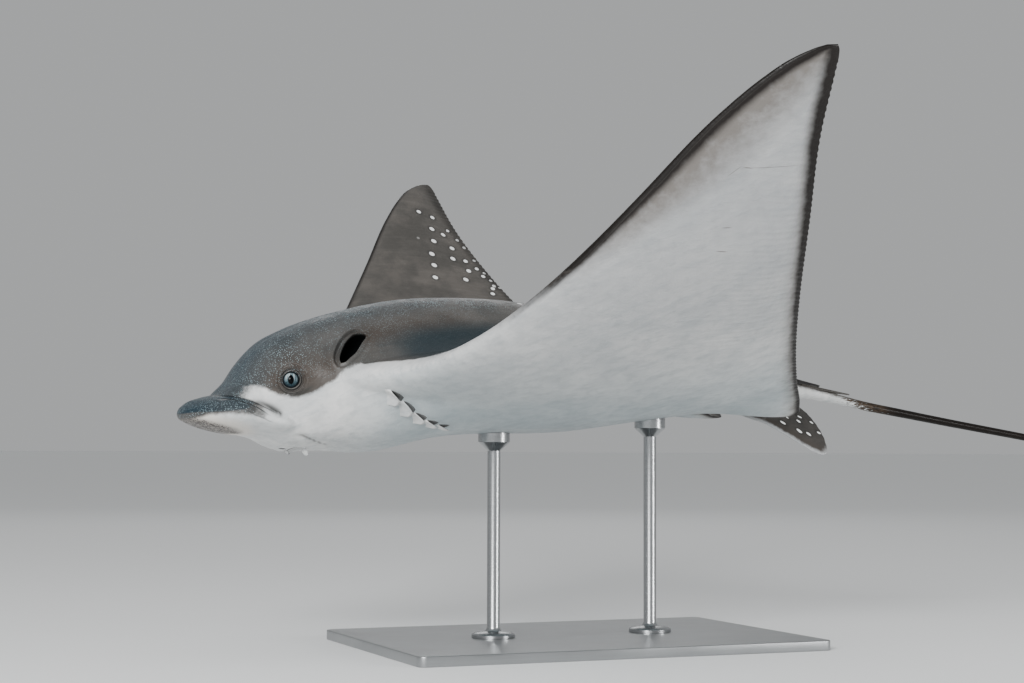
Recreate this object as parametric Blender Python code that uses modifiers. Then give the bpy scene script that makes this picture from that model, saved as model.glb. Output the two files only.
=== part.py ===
"""A spotted eagle ray in mid stroke, as a life-size still model on a plain display stand.

The ray faces -X, its left side is at -Y and +Z is up. The origin is on the floor, under the
middle of the stand. Places on the animal are written as fractions of the disc's width:
x back from the tip of the snout, y out from the mid line, z up from the body's own level.
"""
import math

import bmesh
import bpy
import numpy as np
from mathutils import Matrix, Vector

# Driving sizes in metres. The disc's width is measured along the bend of both wings.
DISC_WIDTH = 1.6
GAP = 0.0003
STAND_CENTRE = 0.36
BODY_LEVEL = 0.205
BASE_LENGTH = 0.60
BASE_WIDTH = 0.40
BASE_THICKNESS = 0.014
ROD_RADIUS = 0.009
ROD_PLACES = {"stand_rod_front": 0.285, "stand_rod_rear": 0.435}

# The grid of the body: rows along the head, wing, rump and tail, and columns out to the side.
HEAD_ROWS = 16
WING_ROWS = 12
RUMP_ROWS = 7
TAIL_ROWS = 30
TRUNK_COLUMNS = 9
RUMP_COLUMNS = 3
WING_COLUMNS = 38

# Where the body is parted, as fractions of the disc's width.
WING_ROOT = 0.10
HEAD_END = 0.155
TORSO_END = 0.56
TAIL_CUTS = (0.95, 1.40, 1.90)
SNOUT_BACK = 0.088
GROOVE_FRONT = (0.039, 0.0106)
GROOVE_SLOPE = -0.50

# The disc's outline: x of each edge at a distance out along the bent wing.
SHOULDER_SPAN = 0.08
HALF_SPAN = 0.5
LEADING_EDGE = ((0, 0.09), (0.05, 0.102), (0.08, 0.121), (0.13, 0.157), (0.2, 0.189), (0.28, 0.2303),
                (0.36, 0.2728), (0.43, 0.3095), (0.465, 0.3315), (0.482, 0.3445), (0.491, 0.3545),
                (0.4965, 0.3625), (0.4992, 0.369), (0.5, 0.3745))
TRAILING_EDGE = ((0, 0.505), (0.04, 0.51), (0.055, 0.520), (0.062, 0.535), (0.067, 0.543),
                 (0.073, 0.5455), (0.08, 0.542), (0.13, 0.511), (0.2, 0.472), (0.28, 0.436),
                 (0.36, 0.409), (0.43, 0.389), (0.48, 0.3805), (0.492, 0.3785), (0.4975, 0.3765),
                 (0.5, 0.3745))
RUMP_SPAN = 0.04
SHOULDER_X = 0.121
RUMP_X = 0.51

# How far the wing tilts up along its span, in degrees, at its leading and trailing edge.
LEAD_BEND = ((0, 5), (0.12, 5.9), (0.24, 36.2), (0.36, 49.4), (0.5, 36.9))
TRAIL_BEND = ((0, 2.6), (0.12, 16.4), (0.24, 30.5), (0.36, 45.7), (0.5, 50.9))
LEAD_LEVEL = 0.0172
TRAIL_LEVEL = 0.0007

# How far the inner rear corner of each wing sags below that, out along the trailing edge.
CORNER_SAG = ((0.04, 0), (0.05, 0.0035), (0.056, 0.0072), (0.062, 0.0112), (0.067, 0.0124),
              (0.073, 0.0105), (0.08, 0.0075), (0.1, 0.0022), (0.125, 0), (0.5, 0))

# Half the wing's thickness, at a third of the chord, along the span.
WING_HALF_THICKNESS = ((0, 0.022), (0.08, 0.024), (0.13, 0.021), (0.2, 0.016), (0.28, 0.0115),
                       (0.36, 0.008), (0.43, 0.0052), (0.48, 0.0034), (0.5, 0.0028))
MARGIN_HALF_THICKNESS = 0.0008
RAY_RIDGE = 0.0005
RAY_SCALLOP = 0.0012
FOIL_PEAK = 0.385

# The trunk's profile: back, belly, level of its widest line, half width and roundness.
BACK = ((0.028, -0.004), (0.034, 0.003), (0.039, 0.0098), (0.052, 0.0232), (0.061, 0.0369),
        (0.074, 0.0506), (0.095, 0.0629), (0.121, 0.0738), (0.148, 0.0818), (0.175, 0.0883),
        (0.202, 0.0923), (0.239, 0.0943), (0.271, 0.0943), (0.301, 0.0926), (0.34, 0.0875),
        (0.40, 0.0755), (0.45, 0.0615), (0.50, 0.046), (0.54, 0.0355), (0.57, 0.0285),
        (0.60, 0.0232))
BELLY = ((0.028, -0.018), (0.044, -0.0214), (0.058, -0.0234), (0.073, -0.0288), (0.089, -0.0355),
         (0.114, -0.0362), (0.136, -0.0362), (0.149, -0.0375), (0.167, -0.0372), (0.185, -0.0347),
         (0.203, -0.0300), (0.221, -0.0258), (0.24, -0.0230), (0.271, -0.0212), (0.325, -0.0205),
         (0.355, -0.0186), (0.384, -0.015), (0.414, -0.0107), (0.456, -0.0055), (0.498, -0.0005),
         (0.52, 0.001), (0.55, 0.006), (0.588, 0.0125), (0.60, 0.0124))
WAIST = ((0.0072, -0.0074), (0.014, -0.0056), (0.04, -0.0045), (0.052, -0.002), (0.063, 0.003),
         (0.0715, 0.009), (0.08, 0.0145), (0.09, 0.018), (0.105, 0.0215), (0.121, 0.0245),
         (0.505, 0.0025), (0.53, 0.009), (0.56, 0.0145), (0.588, 0.0178), (0.60, 0.0178))
HALF_WIDTH = ((0.028, 0.0), (0.034, 0.024), (0.04, 0.036), (0.052, 0.0475), (0.063, 0.054),
              (0.0715, 0.0585), (0.08, 0.0625), (0.09, 0.0668), (0.1, 0.0712), (0.11, 0.0755),
              (0.121, 0.08), (0.17, 0.1), (0.22, 0.125), (0.3, 0.14), (0.38, 0.125), (0.45, 0.09),
              (0.49, 0.058), (0.51, 0.04), (0.53, 0.034), (0.545, 0.029), (0.56, 0.0235),
              (0.575, 0.018), (0.59, 0.0118), (0.60, 0.0088))
ROUND_BACK = ((0.03, 0.36), (0.08, 0.43), (0.121, 0.5), (0.17, 0.8), (0.22, 1.25), (0.3, 1.6),
              (0.42, 1.4), (0.48, 0.9), (0.51, 0.5), (0.60, 0.5))
ROUND_BELLY = ((0.03, 0.36), (0.09, 0.40), (0.121, 0.5), (0.16, 0.62), (0.2, 0.8), (0.3, 1.3),
               (0.42, 1.2), (0.48, 0.8), (0.51, 0.5), (0.60, 0.5))

# The flat lobe of the snout, an ellipse in section: its level and half height along x.
LOBE_TIP = 0.0072
LOBE_REAR = 0.08
LOBE_HALF_WIDTH = 0.0625
LOBE_LEVEL = ((0.0072, -0.0074), (0.014, -0.0056), (0.027, -0.0058), (0.04, -0.0055),
              (0.052, -0.0055), (0.063, -0.0087), (0.0715, -0.0117), (0.08, -0.0145), (0.09, -0.0175))
LOBE_HALF_HEIGHT = ((0.0072, 0.0), (0.0085, 0.0042), (0.014, 0.0084), (0.027, 0.0120), (0.04, 0.0150),
                    (0.052, 0.0180), (0.063, 0.0175), (0.0715, 0.0158), (0.08, 0.0125), (0.09, 0.002))

# The whip of the tail: its level, half width and half height, and its sway to the side.
TAIL_START = 0.60
TAIL_END = 2.49
TAIL_LEVEL = ((0.60, 0.0178), (0.611, 0.0157), (0.6325, 0.0117), (0.654, 0.0073), (0.6985, 0.0),
              (0.743, -0.0072), (0.838, -0.0217), (1.0, -0.047), (1.3, -0.085), (1.7, -0.108),
              (2.1, -0.118), (2.49, -0.112))
TAIL_HALF_WIDTH = ((0.60, 0.0088), (0.62, 0.0066), (0.652, 0.0054), (0.741, 0.0047), (0.837, 0.0038),
                   (1.0, 0.0031), (1.4, 0.0023), (1.9, 0.0016), (2.3, 0.0011), (2.49, 0.0006))
TAIL_HALF_HEIGHT = ((0.60, 0.0054), (0.6325, 0.0046), (0.6985, 0.0040), (0.838, 0.0034), (1.0, 0.0029),
                    (1.4, 0.0022), (1.9, 0.0016), (2.3, 0.0011), (2.49, 0.0006))
TAIL_SWAY = ((0.60, 0.0), (0.85, 0.0), (1.2, 0.02), (1.6, 0.05), (2.0, 0.035), (2.49, -0.02))

# The head's features, each on the right side and mirrored to the left.
EYE_PLACE = (0.0838, 0.0662, 0.0204)
EYE_AXIS = (-0.30, 0.95, 0.05)
EYE_RADIUS = 0.0136
EYE_OPENING = 0.0100
LID_RADIUS = 0.0022
SPIRACLE_PLACE = (0.1328, 0.0715, 0.0462)
SPIRACLE_RUN = (0.0222, -0.0082, 0.0234)
SPIRACLE_AXIS = (-0.25, 0.78, 0.57)
SPIRACLE_SIZE = (0.0255, 0.0110, 0.026)
MOUTH_PLACE = 0.095
MOUTH_HALF_WIDTH = 0.037
MOUTH_BOW = 0.009
MOUTH_DEPTH = 0.007
LIP_RADIUS = 0.0030
NOSTRIL_PLACE = (0.0865, 0.019)
NOSTRIL_SIZE = (0.0035, 0.0075, 0.008)
GILL_FIRST = (0.1625, 0.093)
GILL_LAST = (0.2175, 0.069)
GILL_COUNT = 5
GILL_SIZE = (0.0105, 0.017, 0.0036)

# The pelvic fins: u from root to tip, then x, y and z of the front and rear edges.
PELVIC_FRONT = ((0, 0.492, 0.027, 0.006), (0.16, 0.508, 0.038, -0.004), (0.36, 0.5245, 0.046, -0.0105),
                (0.65, 0.5494, 0.051, -0.0240), (1, 0.5790, 0.056, -0.0425))
PELVIC_REAR = ((0, 0.560, 0.008, 0.014), (0.16, 0.568, 0.018, 0.009), (0.36, 0.574, 0.030, 0.002),
               (0.65, 0.582, 0.040, -0.0110), (1, 0.5895, 0.052, -0.0315))
PELVIC_DROOP = {"left": 1.0, "right": 0.25}
PELVIC_ROOT_HALF_THICKNESS = 0.004
FIN_RIDGE = 0.0003

# The dorsal fin: height over the tail's root, then x of its front and of its rear edge.
DORSAL_LEVEL = 0.0245
DORSAL_FRONT = ((-0.012, 0.530), (0.0, 0.540), (0.010, 0.551), (0.018, 0.561), (0.022, 0.568))
DORSAL_REAR = ((-0.012, 0.592), (0.0, 0.604), (0.003, 0.611), (0.006, 0.599), (0.0085, 0.588),
               (0.018, 0.576), (0.022, 0.573))
DORSAL_HALF_THICKNESS = 0.0042

# The stings: where they root on the right side, their lengths and how they lie back.
STING_ROOT = (0.588, 0.0052, 0.0247)
STING_LENGTH = {"left": 0.0525, "right": 0.044}
STING_CLOSE = -0.002
STING_DROP = -0.0072
STING_BARBS = 7
STING_HALF_WIDTH = 0.0034
STING_HALF_THICKNESS = 0.0022

# The stand's rods in metres: the foot's and the pad's radius, and how deep the pad reaches in.
FOOT_RADIUS = 0.030
PAD_RADIUS = 0.022
PAD_DEPTH = 0.012

# Swellings of the head and wing roots: centre, radius, and push, as fractions of the disc.
SWELLINGS = (
    ((0.084, 0.066, 0.0204), 0.0125, (-0.0006, 0.0030, 0.0002)),
    ((0.080, 0.058, 0.036), 0.014, (-0.0004, 0.0012, 0.0012)),
    ((0.122, 0.070, 0.040), 0.013, (0.0, -0.0022, -0.0012)),
    ((0.112, 0.052, -0.028), 0.018, (0.0, 0.0020, -0.0016)),
)


def smooth(table, x):
    """A smooth curve through a table's points, flat beyond its ends."""
    points = np.asarray(table, float)
    knots, values = points[:, 0], points[:, 1]
    step = np.diff(knots)
    rise = np.diff(values) / step
    slope = np.empty_like(values)
    slope[0] = rise[0]
    slope[-1] = rise[-1]
    slope[1:-1] = (rise[:-1] * step[1:] + rise[1:] * step[:-1]) / (step[:-1] + step[1:])
    x = np.clip(np.asarray(x, float), knots[0], knots[-1])
    i = np.clip(np.searchsorted(knots, x, side="right") - 1, 0, len(knots) - 2)
    u = (x - knots[i]) / step[i]
    start = values[i] * (1 + 2 * u) + slope[i] * step[i] * u
    end = values[i + 1] * (3 - 2 * u) + slope[i + 1] * step[i] * (u - 1)
    return start * (1 - u) ** 2 + end * u ** 2


def ease(value, low, high):
    """0 below low, 1 above high, and a smooth step between."""
    u = np.clip((value - low) / (high - low), 0, 1)
    return u * u * (3 - 2 * u)


def world(points):
    """Fractions of the disc's width to metres on the stand."""
    shift = np.array([-STAND_CENTRE, 0, BODY_LEVEL])
    return (np.asarray(points, float) + shift) * DISC_WIDTH


def bent_line(bend, level, span):
    """Distance out and height of one wing edge, at each distance along its bend."""
    steps = np.linspace(0, HALF_SPAN, 401)
    angle = np.radians(smooth(bend, steps))
    middle = (angle[1:] + angle[:-1]) / 2
    out = np.concatenate([[0], np.cumsum(np.cos(middle))]) * steps[1]
    up = np.concatenate([[0], np.cumsum(np.sin(middle))]) * steps[1]
    return np.interp(span, steps, out), np.interp(span, steps, up) + level


def lobe_half_width(x):
    """Half the width of the snout's lobe: a blunt round front that closes behind the eye."""
    ahead = np.clip((LOBE_REAR - x) / (LOBE_REAR - LOBE_TIP), 0, 1)
    front = LOBE_HALF_WIDTH * (1 - ahead ** 2.3) ** 0.55
    behind = np.clip((x - LOBE_REAR) / 0.012, 0, 1)
    return front * np.sqrt(1 - behind ** 2)


def outline(x):
    """Half the width of head and snout together."""
    return np.maximum(smooth(HALF_WIDTH, x), lobe_half_width(x))


def lobe_reach(dy, dz, drop, half_width, half_height):
    """How many times (dy, dz) reaches the far side of the lobe's ellipse, or 0 where it misses."""
    half_width = np.maximum(half_width, 1e-6)
    half_height = np.maximum(half_height, 1e-6)
    square = (dy / half_width) ** 2 + (dz / half_height) ** 2
    middle = dz * drop / half_height ** 2
    rest = (drop / half_height) ** 2 - 1
    root = middle ** 2 - square * rest
    reach = (-middle + np.sqrt(np.maximum(root, 0))) / np.maximum(square, 1e-12)
    return np.where(root > 0, np.maximum(reach, 0), 0)


def trunk_sheet(edge_x, skew, border, up, columns):
    """Upper (up = 1) or lower (up = -1) half of the head or rump, a row for each edge_x.

    The rows bend with skew until the last one follows the disc's own edge, which border
    gives as its x at the trunk's side, its outline table, its bend table and its level.
    """
    border_x, border_line, bend, bend_level = border
    turn = np.linspace(0, math.pi / 2, columns + 1)[None, :]
    edge_x = edge_x[:, None]
    skew = skew[:, None]
    reach = outline(edge_x) * np.sin(turn)
    x = edge_x - skew * (border_x - smooth(border_line, reach))
    level = smooth(WAIST, x) * (1 - skew) + bent_line(bend, bend_level, reach)[1] * skew
    behind_brow = x > HALF_WIDTH[0][0]
    half_width = np.where(behind_brow, smooth(HALF_WIDTH, x), 1e-6)
    height = np.where(behind_brow, (smooth(BACK if up > 0 else BELLY, x) - level) * up, 1e-6)
    height = np.maximum(height, 1e-6)
    lobe_width = lobe_half_width(x)
    lobe_level = smooth(LOBE_LEVEL, x)
    lobe_height = smooth(LOBE_HALF_HEIGHT, x)
    lobe_top = np.where(lobe_width > 0, (lobe_level - level) * up + lobe_height, 0)
    dy = np.maximum(half_width, lobe_width) * np.sin(turn)
    dz = np.maximum(height, lobe_top) * np.cos(turn)
    power = np.maximum(2, 1 / smooth(ROUND_BACK if up > 0 else ROUND_BELLY, x))
    grow = ((dy / half_width) ** power + (dz / height) ** power + 1e-12) ** (-1 / power)
    lobe = lobe_reach(dy, dz * up, level - lobe_level, lobe_width, lobe_height)
    grow = np.where(lobe_width > 0, np.maximum(grow, lobe), grow)
    return np.stack([x, dy * grow, level + up * dz * grow], -1)


def trunk_rise(x, span, level, up):
    """How far the trunk stands over the wing's middle sheet."""
    roundness = smooth(ROUND_BACK if up > 0 else ROUND_BELLY, x)
    power = np.maximum(2, 1 / roundness)
    share = np.clip(span / smooth(HALF_WIDTH, x), 0, 1)
    profile = smooth(BACK if up > 0 else BELLY, x)
    return np.maximum((profile - level) * up, 0) * np.maximum(1 - share ** power, 0) ** roundness


def wing_spans(trunk_columns, wing_columns):
    """Distances out of the grid's columns, from the mid line over the root to the tip."""
    inner = SHOULDER_SPAN * np.sin(np.linspace(0, math.pi / 2, trunk_columns + 1))
    share = np.linspace(0, 1, wing_columns + 1)[1:]
    outer = SHOULDER_SPAN + (HALF_SPAN - SHOULDER_SPAN) * (1 - (1 - share) ** 1.15)
    return np.concatenate([inner, outer])


def wing_sheet(chord, span, up):
    """Upper or lower half of the disc from the mid line to the tip, rows along the chord."""
    chord = chord[:, None]
    span = span[None, :]
    index = np.arange(span.shape[1])[None, :] - TRUNK_COLUMNS
    ray = np.where(index > 2, (-1.0) ** index, 0) * (span < 0.495)
    lead_x = smooth(LEADING_EDGE, span)
    trail_x = smooth(TRAILING_EDGE, span) + ray * RAY_SCALLOP / 2 * ease(span, 0.10, 0.14)
    lead_y, lead_z = bent_line(LEAD_BEND, LEAD_LEVEL, span)
    trail_y, trail_z = bent_line(TRAIL_BEND, TRAIL_LEVEL, span)
    near_tip = ease(span, 0.38, HALF_SPAN)
    trail_y = trail_y + (lead_y[0, -1] - trail_y[0, -1]) * near_tip
    trail_z = trail_z + (lead_z[0, -1] - trail_z[0, -1]) * near_tip
    x = lead_x + (trail_x - lead_x) * chord
    y = lead_y + (trail_y - lead_y) * chord
    z = lead_z + (trail_z - lead_z) * chord - smooth(CORNER_SAG, span) * ease(chord, 0.78, 1)
    tilt = np.radians(smooth(LEAD_BEND, span) * (1 - chord) + smooth(TRAIL_BEND, span) * chord)
    tilt = tilt * ease(span, 0, SHOULDER_SPAN)
    middle = z[:, :1]
    trunk = trunk_rise(x, span, middle, up)
    foil = np.sqrt(chord) * (1 - chord) / FOIL_PEAK * smooth(WING_HALF_THICKNESS, span)
    margin = MARGIN_HALF_THICKNESS * (4 * chord * (1 - chord)) ** 0.25
    ridge = RAY_RIDGE * (1 + ray) / 2 * ease(chord, 0.5, 0.85) * (chord < 0.999)
    tip = np.sqrt(np.clip((HALF_SPAN - span) / 0.03, 0, 1))
    web = (foil + margin + ridge) * tip * ease(span, -0.02, 0.06)
    rise = (trunk ** 2.5 + web ** 2.5) ** 0.4
    return np.stack([x, y - np.sin(tilt) * rise * up, z + np.cos(tilt) * rise * up], -1)


def tail_sheet(up, columns):
    """Upper or lower half of the whip, from the rump to its end."""
    share = np.linspace(0, 1, TAIL_ROWS + 1)[:, None]
    x = TAIL_START + (TAIL_END - TAIL_START) * share ** 1.25
    turn = np.linspace(0, math.pi / 2, columns + 1)[None, :]
    close = np.sqrt(np.clip((TAIL_END - x) / 0.003, 0, 1))
    y = smooth(TAIL_HALF_WIDTH, x) * np.sin(turn) * close
    z = smooth(TAIL_LEVEL, x) + up * smooth(TAIL_HALF_HEIGHT, x) * np.cos(turn) * close
    return np.stack([x + 0 * turn, y, z], -1)


def swell(points):
    """Push the eye bulge, brow, spiracle hollow and jowl out of the head's surface."""
    for centre, radius, push in SWELLINGS:
        away = np.linalg.norm(points - np.array(centre), axis=-1, keepdims=True)
        points = points + np.exp(-(away / radius) ** 2) * np.array(push)
    return points


def body_sheets():
    """The right half of the body's skin, as grids of points that share their borders."""
    chord = (1 - np.cos(np.linspace(0, math.pi, WING_ROWS + 1))) / 2
    span = wing_spans(TRUNK_COLUMNS, WING_COLUMNS)
    head_x = LOBE_TIP + (SHOULDER_X - LOBE_TIP) * np.linspace(0, 1, HEAD_ROWS + 1) ** 1.25
    head_skew = ease(head_x, 0.045, SHOULDER_X)
    head_border = (SHOULDER_X, LEADING_EDGE, LEAD_BEND, LEAD_LEVEL)
    rump_x = np.linspace(RUMP_X, TAIL_START, RUMP_ROWS + 1)
    rump_skew = 1 - ease(rump_x, RUMP_X, 0.55)
    rump_border = (RUMP_X, TRAILING_EDGE, TRAIL_BEND, TRAIL_LEVEL)
    sheets = []
    for up in (1, -1):
        wing = wing_sheet(chord, span, up)
        head = trunk_sheet(head_x, head_skew, head_border, up, TRUNK_COLUMNS)
        miss = wing[0, :TRUNK_COLUMNS + 1] - head[-1]
        head = head + (head_skew ** 2)[:, None, None] * miss
        rump = trunk_sheet(rump_x, rump_skew, rump_border, up, RUMP_COLUMNS)
        miss = wing[-1, :RUMP_COLUMNS + 1] - rump[0]
        rump = rump + (rump_skew ** 2)[:, None, None] * miss
        tail = tail_sheet(up, RUMP_COLUMNS)
        tail[0] = rump[-1]
        sheets += [swell(head), swell(wing), rump, tail]
    return sheets


def new_object(name, mesh, collection):
    """Link a mesh as a named object."""
    thing = bpy.data.objects.new(name, mesh)
    collection.objects.link(thing)
    return thing


def mesh_from(shape, name):
    """Turn a bmesh into a mesh whose faces point outwards."""
    bmesh.ops.recalc_face_normals(shape, faces=shape.faces)
    mesh = bpy.data.meshes.new(name)
    shape.to_mesh(mesh)
    shape.free()
    return mesh


def weld_body(name, collection):
    """Mirror the sheets, join them along their shared borders and return one closed body."""
    shape = bmesh.new()
    for sheet in body_sheets():
        for side in (1, -1):
            points = sheet * np.array([1, side, 1])
            points[..., 1] += smooth(TAIL_SWAY, points[..., 0])
            rows, columns = points.shape[:2]
            corners = [[shape.verts.new(world(p)) for p in row] for row in points]
            for i in range(rows - 1):
                for j in range(columns - 1):
                    a, b = corners[i][j], corners[i + 1][j]
                    c, d = corners[i + 1][j + 1], corners[i][j + 1]
                    shape.faces.new((a, b, c))
                    shape.faces.new((a, c, d))
    bmesh.ops.remove_doubles(shape, verts=shape.verts, dist=0.00002)
    bmesh.ops.dissolve_degenerate(shape, dist=0.00001, edges=shape.edges)
    return new_object(name, mesh_from(shape, name), collection)


def loft(name, rings, collection):
    """A closed body through rings of points, its ends closed by fans."""
    shape = bmesh.new()
    loops = [[shape.verts.new(p) for p in ring] for ring in rings]
    count = len(loops[0])
    for lower, upper in zip(loops, loops[1:]):
        for k in range(count):
            a, b = lower[k], lower[(k + 1) % count]
            c, d = upper[(k + 1) % count], upper[k]
            shape.faces.new((a, b, c))
            shape.faces.new((a, c, d))
    for loop in (loops[0], loops[-1]):
        middle = shape.verts.new(sum((v.co for v in loop), Vector()) / count)
        for k in range(count):
            shape.faces.new((loop[k], loop[(k + 1) % count], middle))
    return new_object(name, mesh_from(shape, name), collection)


def evaluated(thing):
    """Apply an object's modifiers to its mesh."""
    bpy.context.view_layer.update()
    graph = bpy.context.evaluated_depsgraph_get()
    mesh = bpy.data.meshes.new_from_object(thing.evaluated_get(graph))
    thing.modifiers.clear()
    thing.data = mesh


def cut(thing, cutter, operation="DIFFERENCE", solver="EXACT"):
    """Cut, keep or join by one closed cutter, and apply it."""
    step = thing.modifiers.new(operation.lower(), "BOOLEAN")
    step.operation = operation
    step.solver = solver
    step.object = cutter
    evaluated(thing)


def join_all(thing, pieces):
    """Fuse loose closed pieces into one body with a single union, and remove them."""
    group = bpy.data.collections.new("pieces")
    for piece in pieces:
        group.objects.link(piece)
    step = thing.modifiers.new("union", "BOOLEAN")
    step.operation = "UNION"
    step.operand_type = "COLLECTION"
    step.collection = group
    evaluated(thing)
    for piece in pieces:
        bpy.data.objects.remove(piece)
    bpy.data.collections.remove(group)


def keep_largest(thing):
    """Drop every loose scrap but the largest closed surface."""
    shape = bmesh.new()
    shape.from_mesh(thing.data)
    unseen = set(shape.verts)
    best = set()
    while unseen:
        island = {unseen.pop()}
        edge = list(island)
        while edge:
            vertex = edge.pop()
            near = {e.other_vert(vertex) for e in vertex.link_edges} - island
            island |= near
            edge += near
        unseen -= island
        if len(island) > len(best):
            best = island
    bmesh.ops.delete(shape, geom=[v for v in shape.verts if v not in best], context="VERTS")
    bmesh.ops.remove_doubles(shape, verts=shape.verts, dist=0.000005)
    bmesh.ops.dissolve_degenerate(shape, dist=0.000002, edges=shape.edges)
    bmesh.ops.triangulate(shape, faces=[f for f in shape.faces if len(f.verts) > 3])
    shape.to_mesh(thing.data)
    shape.free()


def box(name, low, high, collection):
    """A box between two corners, in metres."""
    shape = bmesh.new()
    bmesh.ops.create_cube(shape, size=1)
    for vertex in shape.verts:
        vertex.co = [(high[k] + low[k]) / 2 + vertex.co[k] * (high[k] - low[k]) for k in range(3)]
    return new_object(name, mesh_from(shape, name), collection)


def ball(name, place, axes, sizes, segments, rings, collection):
    """An ellipsoid with half sizes along three given directions."""
    shape = bmesh.new()
    bmesh.ops.create_uvsphere(shape, u_segments=segments, v_segments=rings, radius=1)
    turn = Matrix([axes[0] * sizes[0], axes[1] * sizes[1], axes[2] * sizes[2]]).transposed()
    for vertex in shape.verts:
        vertex.co = turn @ vertex.co + Vector(place)
    return new_object(name, mesh_from(shape, name), collection)


def prism(name, corners, half_depth, collection):
    """A flat outline in X and Z, pushed out to both sides along Y."""
    shape = bmesh.new()
    near = [shape.verts.new((x, -half_depth, z)) for x, z in corners]
    far = [shape.verts.new((x, half_depth, z)) for x, z in corners]
    shape.faces.new(near)
    shape.faces.new(list(reversed(far)))
    for k in range(len(corners)):
        n = (k + 1) % len(corners)
        shape.faces.new((near[k], near[n], far[n], far[k]))
    return new_object(name, mesh_from(shape, name), collection)


def finish(thing, colour, roughness, metallic=0.0):
    """Give an object its own plain material."""
    material = bpy.data.materials.new(thing.name)
    material.use_nodes = True
    shader = material.node_tree.nodes["Principled BSDF"]
    shader.inputs["Base Color"].default_value = (*colour, 1)
    shader.inputs["Roughness"].default_value = roughness
    shader.inputs["Metallic"].default_value = metallic
    thing.data.materials.clear()
    thing.data.materials.append(material)


def axes_from(normal, run):
    """Three square directions: run laid flat to the normal, across it, and the normal."""
    up = Vector(normal).normalized()
    along = Vector(run)
    along = (along - up * along.dot(up)).normalized()
    return along, up.cross(along), up


def hit(body, place, axis):
    """Where a line from outside along -axis meets the body, and its normal there."""
    axis = Vector(axis).normalized()
    start = Vector(world(place)) + axis * 0.2
    found, spot, normal, _ = body.ray_cast(start, -axis)
    return spot, normal


def mirrored(vector, side):
    """A place or direction on the right side, taken to the left where side is -1."""
    return (vector[0], vector[1] * side, vector[2])


def snout_region(name, grow, collection):
    """The block in front of and under the groove between snout and brow."""
    front_x = -0.05
    front_z = GROOVE_FRONT[1] + GROOVE_SLOPE * (front_x - GROOVE_FRONT[0])
    back_z = GROOVE_FRONT[1] + GROOVE_SLOPE * (SNOUT_BACK - GROOVE_FRONT[0])
    corners = [(front_x, front_z), (SNOUT_BACK, back_z), (SNOUT_BACK, -0.1), (front_x, -0.1)]
    growth = [(0, grow), (grow, grow), (grow, 0), (0, 0)]
    spots = [world((x, 0, z)) for x, z in corners]
    grown = [(s[0] + dx, s[2] + dz) for s, (dx, dz) in zip(spots, growth)]
    return prism(name, grown, 0.3, collection)


def part_body(body, regions, collection, cutters):
    """Cut the whole body into its named nodes, a hair's width apart."""
    blocks = {"snout": snout_region("cut_snout", 0, cutters)}
    for name, (low, high) in regions.items():
        blocks[name] = box("cut_" + name, low, high, cutters)
    nodes = {}
    for name, block in blocks.items():
        node = new_object(name, body.data.copy(), collection)
        cut(node, block, "INTERSECT")
        if name == "head":
            cut(node, snout_region("cut_snout_grown", GAP, cutters))
        keep_largest(node)
        nodes[name] = node
    return nodes


def body_regions():
    """Low and high corners, in metres, of the block that holds each node behind the snout."""
    half = GAP / 2
    side = WING_ROOT * DISC_WIDTH

    def at(x):
        return (x - STAND_CENTRE) * DISC_WIDTH

    regions = {
        "head": ((at(-0.1), -side + half, -1), (at(HEAD_END) - half, side - half, 1)),
        "torso": ((at(HEAD_END) + half, -side + half, -1), (at(TORSO_END) - half, side - half, 1)),
        "wing_left": ((at(0), -1.2, -1), (at(0.7), -side - half, 1)),
        "wing_right": ((at(0), side + half, -1), (at(0.7), 1.2, 1)),
    }
    ends = (TORSO_END,) + TAIL_CUTS + (TAIL_END + 0.1,)
    for k, (start, end) in enumerate(zip(ends, ends[1:])):
        regions["tail_%d" % (k + 1)] = ((at(start) + half, -side + half, -1),
                                        (at(end) - half, side - half, 1))
    return regions


def make_eyes(body, head, collection, cutters):
    """Lid rings fused to the head, sockets, and an eyeball in each."""
    axis = Vector(EYE_AXIS).normalized()
    depth = math.sqrt(EYE_RADIUS ** 2 - EYE_OPENING ** 2)
    for side, word in ((-1, "left"), (1, "right")):
        out = Vector(mirrored(axis, side))
        spot, _ = hit(body, mirrored(EYE_PLACE, side), out)
        centre = spot - out * depth
        bpy.ops.mesh.primitive_torus_add(major_radius=EYE_OPENING + LID_RADIUS / 2,
                                         minor_radius=LID_RADIUS, major_segments=16,
                                         minor_segments=5, location=spot,
                                         rotation=out.to_track_quat("Z", "Y").to_euler())
        lid = bpy.context.object
        cut(head, lid, "UNION")
        bpy.data.objects.remove(lid)
        square = axes_from(out, (1, 0, 0))
        socket = ball("cut_socket_" + word, centre, square, (EYE_RADIUS + GAP,) * 3, 16, 10, cutters)
        cut(head, socket)
        eye = ball("eye_" + word, centre, square, (EYE_RADIUS,) * 3, 16, 10, collection)
        finish(eye, (0.25, 0.32, 0.36), 0.08)


def make_spiracles(body, head, cutters):
    """The large oblique breathing hole behind each eye, as a deep pocket."""
    for side, word in ((-1, "left"), (1, "right")):
        out = mirrored(SPIRACLE_AXIS, side)
        spot, _ = hit(body, mirrored(SPIRACLE_PLACE, side), out)
        axes = axes_from(out, mirrored(SPIRACLE_RUN, side))
        pocket = ball("cut_spiracle_" + word, spot, axes, SPIRACLE_SIZE, 12, 8, cutters)
        cut(head, pocket)


def mouth_line(body, shift, lift):
    """Points across the underside along the bow of the mouth, lift above the skin."""
    points = []
    for share in np.linspace(-1, 1, 13):
        x = MOUTH_PLACE + MOUTH_BOW * share ** 2 + shift / DISC_WIDTH
        spot, _ = hit(body, (x, MOUTH_HALF_WIDTH * share, 0), (0, 0, -1))
        points.append(spot + Vector((0, 0, lift)))
    return points


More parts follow.
